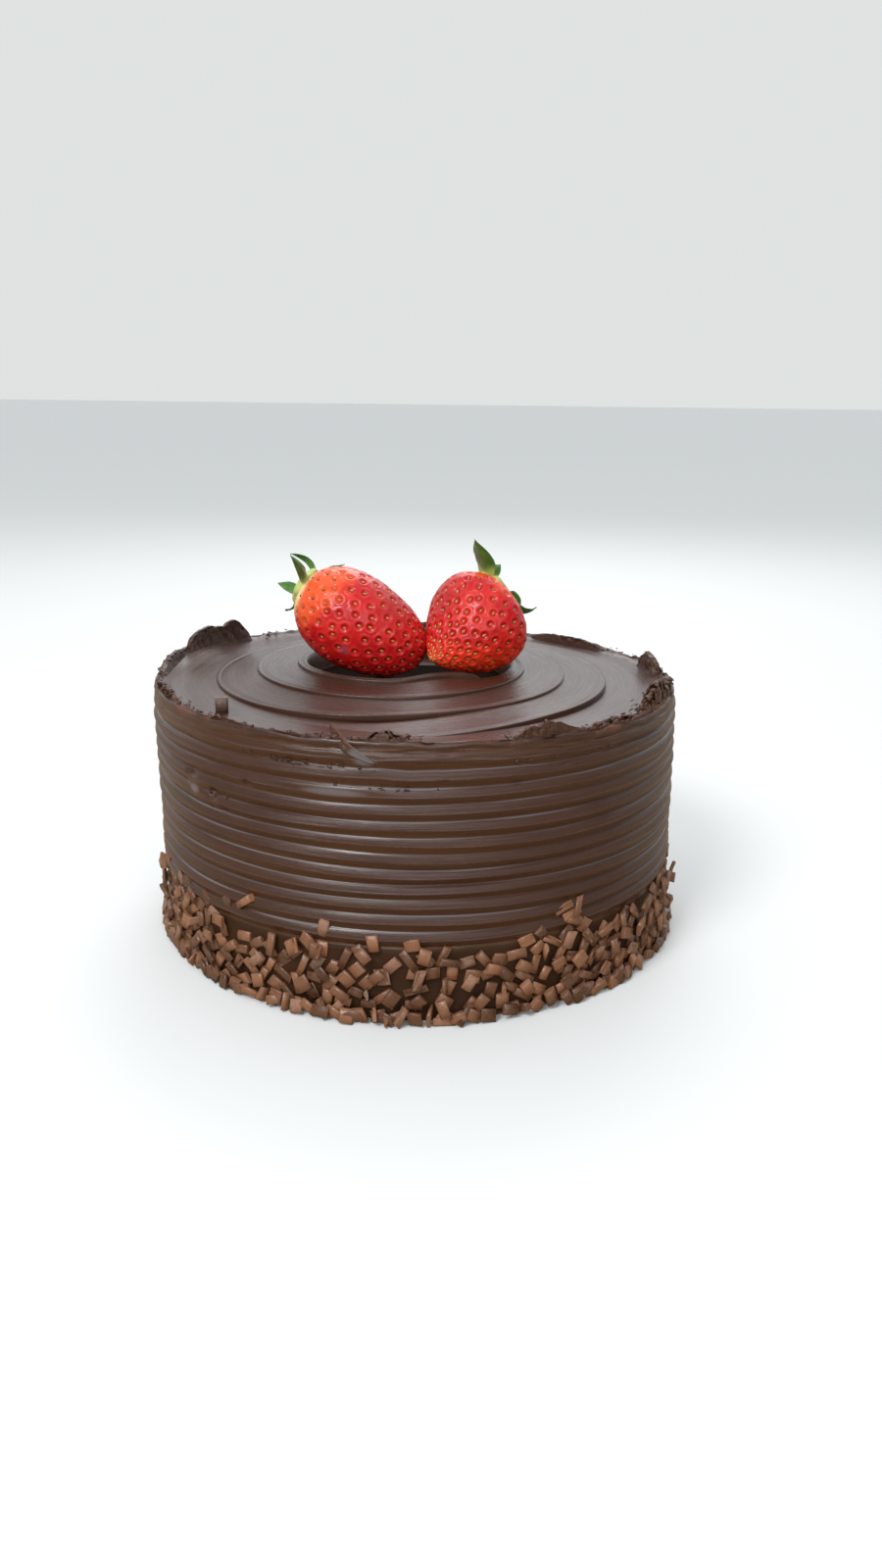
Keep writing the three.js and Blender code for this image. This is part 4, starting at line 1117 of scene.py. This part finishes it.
def calyx_hub(out, radial, across, root):
    """The dome that the sepals grow from, with seven scallops round its lower edge."""
    share = np.linspace(0, 1, HUB_ROWS)[:, None]
    loop = np.arange(HUB_COLUMNS) / HUB_COLUMNS * 2 * np.pi
    scallop = mix(1 + 0.08 * np.cos(7 * loop), 1.0, share)
    wide = (HUB_RADIUS * np.cos(share * np.pi / 2) ** 0.55 * scallop + 0.05)[..., None]
    tall = mix(-2.4, 0.95, np.sin(share * np.pi / 2) ** 0.7)[..., None]
    around = np.cos(loop)[:, None] * radial - np.sin(loop)[:, None] * across
    count = HUB_ROWS * HUB_COLUMNS
    values = {"vein": np.full(count, 0.6), "length": np.append(np.full(count, 0.05), [0, 1])}
    return *tube(root + wide * around + tall * out), values


def calyx_leaves(side):
    """Hub and sepals of one berry, each a closed surface, joined in one piece."""
    calyx = calyx_axes(BERRIES[side])
    parts = [sepal(calyx, *numbers) for numbers in SEPALS[side]] + [calyx_hub(*calyx)]
    return new_piece(f"calyx_leaves_{side}", *joined(parts))


# ---- Node groups ----------------------------------------------------------------------------
def group_tree(name, inputs, outputs):
    """An empty shader node group with named sockets: (name, kind, value)."""
    tree = bpy.data.node_groups.new(name, "ShaderNodeTree")
    for label, kind, value in inputs:
        socket = tree.interface.new_socket(label, in_out="INPUT", socket_type=f"NodeSocket{kind}")
        if value is not None:
            socket.default_value = value
    for label, kind in outputs:
        tree.interface.new_socket(label, in_out="OUTPUT", socket_type=f"NodeSocket{kind}")
    return tree


def node(tree, kind, settings=None, **links):
    """Adds a node. settings are its properties; links are its inputs, as connect takes them."""
    made = tree.nodes.new(f"ShaderNode{kind}")
    for key, value in (settings or {}).items():
        setattr(made, key, value)
    return connect(tree, made, links)


def connect(tree, made, links):
    """Gives inputs of a node a value or a socket each, by name with _ for a space, or by number
    as in0, in1."""
    for key, value in links.items():
        numbered = key[:2] == "in" and key[2:].isdigit()
        socket = made.inputs[int(key[2:]) if numbered else key.replace("_", " ")]
        if isinstance(value, bpy.types.NodeSocket):
            tree.links.new(value, socket)
        else:
            socket.default_value = value
    return made


def layered(tree, base, *layers):
    """A colour with others over it, each a mask, the mask's strength and a colour."""
    colour = (*base, 1)
    for mask, strength, over in layers:
        factor = maths(tree, "MULTIPLY", mask, strength)
        made = node(tree, "Mix", {"data_type": "RGBA"}, in0=factor, in6=colour, in7=(*over, 1))
        colour = made.outputs[2]
    return colour


def total(tree, base, *terms):
    """A base and each term, a socket and its factor, added up."""
    for value, factor in terms:
        base = maths(tree, "MULTIPLY_ADD", value, factor, base)
    return base


def maths(tree, operation, first, second=0.0, third=0.0):
    return node(tree, "Math", {"operation": operation}, in0=first, in1=second, in2=third).outputs[0]


def attribute(tree, name, output="Fac"):
    return node(tree, "Attribute", {"attribute_name": name}).outputs[output]


def ramp(tree, value, low, high):
    """Value from 0 at low to 1 at high, smoothly."""
    settings = {"interpolation_type": "SMOOTHSTEP"}
    return node(tree, "MapRange", settings, Value=value, From_Min=low, From_Max=high).outputs["Result"]


def streaks_group():
    """Marks drawn along a stroke: noise on a place whose third part runs across the stroke."""
    tree = group_tree(
        "drawn_streaks",
        [("Stroke", "Vector", None), ("Along", "Float", 3.0), ("Across", "Float", 1.0)],
        [("Value", "Float"), ("Height", "Float")],
    )
    source = tree.nodes.new("NodeGroupInput").outputs
    scale = node(tree, "CombineXYZ", X=source["Along"], Y=source["Along"], Z=source["Across"])
    multiply = {"operation": "MULTIPLY"}
    place = node(tree, "VectorMath", multiply, in0=source["Stroke"], in1=scale.outputs[0]).outputs[0]
    finer = node(tree, "VectorMath", {"operation": "SCALE"}, in0=place, Scale=3.1).outputs[0]
    wide, fine = (
        node(tree, "TexNoise", None, Vector=at, Scale=1.0, Detail=detail, Roughness=rough).outputs["Fac"]
        for at, detail, rough in ((place, 4.0, 0.6), (finer, 3.0, 0.65)))
    height = total(tree, maths(tree, "MULTIPLY", wide, 0.5), (fine, 0.5))
    target = tree.nodes.new("NodeGroupOutput")
    connect(tree, target, {"Value": ramp(tree, wide, 0.36, 0.64), "Height": height})


def mottle_group():
    """Cloudy unevenness: noise at a scale in metres, spread between two levels."""
    tree = group_tree(
        "mottle",
        [
            ("Place", "Vector", None), ("Scale", "Float", 100.0),
            ("Low", "Float", 0.4), ("High", "Float", 0.6),
        ],
        [("Value", "Float"), ("Height", "Float")],
    )
    source = tree.nodes.new("NodeGroupInput").outputs
    cloud = node(
        tree, "TexNoise", None, Vector=source["Place"], Scale=source["Scale"], Detail=5.0, Roughness=0.6)
    value = ramp(tree, cloud.outputs["Fac"], source["Low"], source["High"])
    target = tree.nodes.new("NodeGroupOutput")
    connect(tree, target, {"Value": value, "Height": cloud.outputs["Fac"]})


def use_group(tree, name, **links):
    """The value and the height that a node group gives."""
    made = node(tree, "Group", {"node_tree": bpy.data.node_groups[name]}, **links)
    return made.outputs["Value"], made.outputs["Height"]


def mottled(tree, scale, low, high, place=None):
    """The mottle group at a place, which is the point on the object if none is given."""
    place = place or node(tree, "TexCoord").outputs["Object"]
    return use_group(tree, "mottle", Place=place, Scale=scale, Low=low, High=high)


def new_material(name):
    """A material with only a Principled shader, and its node tree."""
    material = bpy.data.materials.new(name)
    material.use_nodes = True
    return material, material.node_tree


def painted(material, **links):
    """The material, after its Principled shader is given its inputs."""
    connect(material.node_tree, material.node_tree.nodes["Principled BSDF"], links)
    return material


def bump(tree, height, distance, strength, **normal):
    """The normal after a relief of that distance in metres, over another normal if one is given."""
    made = node(tree, "Bump", None, Height=height, Distance=distance, Strength=strength, **normal)
    return made.outputs["Normal"]


# ---- Materials ------------------------------------------------------------------------------
def ganache_material():
    """Set ganache: satin dark brown with marks drawn by comb and spatula; painted shade, warm golden
    brown, under each comb crest; painted shade, nearly black, deep in the hollow, where it is also dull;
    thin pale painted highlights on the comb marks' shoulders and beads and a pale painted sheen on smears
    and the fin; and matt reddish brown where it is torn."""
    material, tree = new_material("set_ganache")
    torn, shade, gloss_and_sheen = (attribute(tree, name) for name in ("torn", "shade", "gloss_and_sheen"))
    stroke = attribute(tree, "stroke", "Vector")
    drawn, drawn_height = use_group(tree, "drawn_streaks", Stroke=stroke, Along=2.6, Across=1.5)
    cloudy, _ = mottled(tree, 45.0, 0.35, 0.68)
    crumb, crumb_height = mottled(tree, 900.0, 0.38, 0.62)
    ripped = ramp(tree, total(tree, torn, (crumb, 0.35)), 0.45, 0.95)
    deep = ramp(tree, shade, 1.1, 1.9)
    colour = layered(
        tree, (0.054, 0.0226, 0.0138),
        (drawn, 1.0, (0.037, 0.0150, 0.0094)),
        (cloudy, 0.5, (0.060, 0.0255, 0.0158)),
        # Painted shade: warm golden brown under comb crests and round the flakes' gaps, standing in for
        # shade and a warm reflection from below
        (shade, 0.9, (0.060, 0.0220, 0.0062)),
        # Painted shade: nearly black in the hollow, the flakes' gaps and the torn cavities
        (deep, 1.0, (0.009, 0.0045, 0.0030)),
        # Painted highlight: a pale grey sheen on the comb marks' shoulders and beads, on smears and on
        # the fin's lying part
        (ramp(tree, gloss_and_sheen, 1.0, 2.0), 0.75, (0.150, 0.142, 0.150)),
        (ripped, 1.0, (0.120, 0.047, 0.029)),
    )
    normal = bump(tree, drawn_height, 0.0003, total(tree, 0.9, (gloss_and_sheen, -0.4)))
    return painted(
        material, IOR=1.46, Base_Color=colour,
        Roughness=total(tree, 0.30, (gloss_and_sheen, -0.03), (deep, 0.5), (drawn, 0.09), (ripped, 0.22)),
        Specular_IOR_Level=total(tree, 0.42, (deep, -0.4)),
        Normal=bump(tree, crumb_height, 0.0002, total(tree, 0.06, (ripped, 0.7)), Normal=normal),
    )


def flake_material():
    """Milk chocolate: each flake has its own tone; a painted highlight makes it paler along its cut
    edges, and a few are dusty and crumbly."""
    material, tree = new_material("milk_chocolate")
    grain = attribute(tree, "grain", "Vector")
    tone, dusty, edge = (attribute(tree, name) for name in ("tone", "dusty", "edge"))
    cloud, _ = mottled(tree, 0.8, 0.35, 0.65, grain)
    fine, fine_height = mottled(tree, 4.5, 0.4, 0.62, grain)
    crumbly = maths(tree, "MULTIPLY", dusty, fine)
    colour = layered(
        tree, (0.062, 0.0260, 0.0135),
        (tone, 1.0, (0.275, 0.126, 0.066)),
        (cloud, 0.35, (0.13, 0.055, 0.027)),
        (ramp(tree, tone, -0.05, -0.4), 1.0, (0.040, 0.0170, 0.0100)),
        # Painted highlight along the cut edges
        (ramp(tree, edge, 0.75, 1.0), 0.3, (0.27, 0.13, 0.072)),
        (crumbly, 0.55, (0.42, 0.26, 0.19)),
    )
    return painted(
        material, IOR=1.46, Specular_IOR_Level=0.5, Base_Color=colour,
        Roughness=total(tree, 0.20, (cloud, 0.12), (crumbly, 0.25)),
        Normal=bump(tree, fine_height, 0.0003, total(tree, 0.22, (dusty, 0.8))),
    )


def berry_material():
    """Strawberry skin: pale at the calyx, orange on the shoulder, red below, brightened low down by
    painted bounce light, with painted shade darker in the pits and a painted pink highlight on the rings
    round them, with a mauve bruise and a duller patch."""
    material, tree = new_material("strawberry_skin")
    names = ("pale", "orange", "pit", "ring", "bruise", "dull", "painted_bounce_light")
    pale, orange, pit, ring, bruise, dull, painted_bounce_light = (attribute(tree, name) for name in names)
    cloud, _ = mottled(tree, 150.0, 0.34, 0.66)
    fine, fine_height = mottled(tree, 1400.0, 0.4, 0.62)
    orange = total(tree, maths(tree, "SUBTRACT", orange, 0.15), (cloud, 0.3))
    colour = layered(
        tree, (0.43, 0.0045, 0.0060),
        (cloud, 1.0, (0.55, 0.0100, 0.0070)),
        # Painted highlight on the rings round the pits and painted shade in the pits
        (ring, 0.22, (0.66, 0.040, 0.048)),
        (pit, 0.65, (0.30, 0.004, 0.006)),
        (ramp(tree, orange, 0.1, 1.0), 1.0, (0.72, 0.088, 0.020)),
        # Painted bounce light, brighter red low down
        (painted_bounce_light, 1.0, (0.95, 0.050, 0.016)),
        (ramp(tree, total(tree, pale, (fine, 0.15)), 0.2, 1.0), 1.0, (0.78, 0.55, 0.22)),
        (dull, 0.45, (0.30, 0.024, 0.020)),
        (bruise, 0.75, (0.30, 0.055, 0.075)),
    )
    return painted(
        material, IOR=1.42, Specular_IOR_Level=0.38, Subsurface_Weight=0.1, Subsurface_Scale=0.002,
        Subsurface_Radius=(1.0, 0.25, 0.12), Coat_Weight=0.08, Coat_Roughness=0.12, Base_Color=colour,
        Roughness=total(tree, 0.27, (dull, 0.16), (cloud, 0.08)),
        Normal=bump(tree, fine_height, 0.00012, 0.35),
    )


def seed_material():
    """Seeds: golden, browner and darker near the calyx."""
    material, tree = new_material("strawberry_seed")
    cloud, cloud_height = mottled(tree, 900.0, 0.35, 0.65)
    colour = layered(
        tree, (0.085, 0.030, 0.010),
        (attribute(tree, "ripe"), 1.0, (0.52, 0.235, 0.045)),
        (cloud, 0.3, (0.55, 0.20, 0.05)),
    )
    return painted(
        material, IOR=1.45, Specular_IOR_Level=0.5, Roughness=0.38, Base_Color=colour,
        Normal=bump(tree, cloud_height, 0.0001, 0.3),
    )


def leaf_material():
    """Sepal: deep green, yellow-green towards the root and along the vein, with fine hair-like
    roughness."""
    material, tree = new_material("berry_leaf")
    cloud, _ = mottled(tree, 260.0, 0.35, 0.68)
    _, fine_height = mottled(tree, 1500.0, 0.4, 0.6)
    aside = maths(tree, "ABSOLUTE", attribute(tree, "vein"))
    vein = maths(tree, "POWER", maths(tree, "SUBTRACT", 1.0, aside), 14.0)
    colour = layered(
        tree, (0.038, 0.120, 0.014),
        (cloud, 1.0, (0.078, 0.195, 0.024)),
        (vein, 0.5, (0.13, 0.23, 0.06)),
        (ramp(tree, attribute(tree, "length"), 0.32, 0.02), 1.0, (0.42, 0.47, 0.13)),
    )
    return painted(
        material, IOR=1.4, Specular_IOR_Level=0.4, Sheen_Weight=0.15, Sheen_Roughness=0.5,
        Roughness=0.46, Base_Color=colour,
        Normal=bump(tree, total(tree, fine_height, (vein, -0.6)), 0.00025, 0.5),
    )


# ---- Studio ---------------------------------------------------------------------------------
PHOTO_HEIGHT = 1600.0
FOCAL_LENGTH = 1150.0
SENSOR = 36.0
CAMERA_PLACE = (0.00724, -0.4364, 0.2011)
CAMERA_PITCH = 18.98
CAMERA_ROLL = -0.01158
LIGHT_TARGET = (0.0, 0.0, 0.08)
# Lights: place, size, power and colour
LIGHTS = {
    "key": ((-0.5, -0.8, 0.95), 0.5, 11.5, (0.96, 0.98, 1.0)),
    "front": ((0.25, -1.5, 0.65), 0.9, 5.0, (0.98, 0.985, 1.0)),
    "back": ((0.1, 0.9, 0.9), 0.8, 5.0, (0.97, 0.99, 1.0)),
}
FLOOR_REACH = 30.0


def camera():
    """Camera at the photograph's place: 44 cm in front and 20 cm up, pitched down 19 degrees,
    for a frame of 900 x 1600. Its focal length is in pixels of the photograph."""
    data = bpy.data.cameras.new("camera")
    data.sensor_fit = "AUTO"
    data.sensor_width = SENSOR
    data.lens = FOCAL_LENGTH / PHOTO_HEIGHT * SENSOR
    data.clip_start = 0.01
    data.clip_end = 50.0
    made = bpy.data.objects.new("camera", data)
    made.location = CAMERA_PLACE
    made.rotation_euler = (math.radians(90.0 - CAMERA_PITCH), CAMERA_ROLL, 0.0)
    bpy.context.collection.objects.link(made)
    bpy.context.scene.camera = made


def area_light(name, place, size, power, colour):
    """A round light, its size in metres and its power in watts, that faces LIGHT_TARGET."""
    data = bpy.data.lights.new(name, "AREA")
    data.shape = "DISK"
    data.size = size
    data.energy = power
    data.color = colour
    made = bpy.data.objects.new(name, data)
    away = unit(np.array(place) - LIGHT_TARGET)
    yaw = math.atan2(away[1], away[0]) + math.pi / 2
    made.location = place
    made.rotation_euler = (math.acos(away[2]), 0.0, yaw)
    bpy.context.collection.objects.link(made)


def surroundings():
    """World light by direction: bright behind the cake, overhead and in front as a window is,
    dim at both sides and low in front. What the camera sees directly is an even pale grey."""
    world = bpy.data.worlds.new("studio")
    world.use_nodes = True
    tree = world.node_tree
    way = node(tree, "SeparateXYZ", None, Vector=node(tree, "TexCoord").outputs["Generated"]).outputs
    behind = ramp(tree, way["Y"], 0.0, 0.65)
    overhead = ramp(tree, way["Z"], 0.3, 0.9)
    ahead = maths(tree, "MULTIPLY", ramp(tree, way["Y"], -0.45, -0.85), ramp(tree, way["Z"], -0.02, 0.12))
    level = total(tree, 0.22, (behind, 1.22), (ahead, 0.7), (overhead, 0.65))
    seen = node(tree, "LightPath").outputs["Is Camera Ray"]
    colour = layered(
        tree, (0.0, 0.0, 0.0),
        (level, 1.0, (0.93, 0.975, 1.0)),
        (seen, 1.0, (0.74, 0.765, 0.76)),
    )
    connect(tree, tree.nodes["Background"], {"Color": colour, "Strength": 1.0})
    bpy.context.scene.world = world


def studio():
    """Pale floor, pale surroundings and three large soft lights. The floor looks pale to the
    camera but throws a warmer, darker light on the cake."""
    surroundings()
    bpy.context.scene.view_settings.view_transform = "Standard"
    for name, numbers in LIGHTS.items():
        area_light(name, *numbers)
    corners = np.array([[-1, -1, 0], [1, -1, 0], [1, 1, 0], [-1, 1, 0]]) * FLOOR_REACH / MM
    floor = new_piece("floor", corners, np.array([[0, 1, 2, 3]]))
    material, tree = new_material("floor")
    seen = node(tree, "LightPath").outputs["Is Camera Ray"]
    colour = layered(tree, (0.46, 0.35, 0.23), (seen, 1.0, (0.73, 0.73, 0.72)))
    painted(material, Roughness=0.7, Specular_IOR_Level=0.3, Base_Color=colour)
    floor.data.materials.append(material)


# ---- The whole ------------------------------------------------------------------------------
camera()
studio()
streaks_group()
mottle_group()
ganache = ganache_material()
for make in (ganache_coat, spatula_swirl, torn_lumps, rim_fringe, ganache_slivers, rim_fin):
    dress(make(), ganache, "ganache", "cake")
dress(chocolate_flakes(), flake_material(), "ganache", "cake")

skin, seed, leaf = berry_material(), seed_material(), leaf_material()
for number, side in enumerate(BERRIES):
    draw = np.random.default_rng(700 + number)
    seeds = seed_places(BERRIES[side], draw)
    dress(berry_flesh(side, seeds), skin, "berry_flesh", f"strawberry_{side}")
    dress(berry_seeds(side, seeds, draw), seed, "berry_flesh", f"strawberry_{side}")
    dress(calyx_leaves(side), leaf, "berry_leaf", f"calyx_{side}")
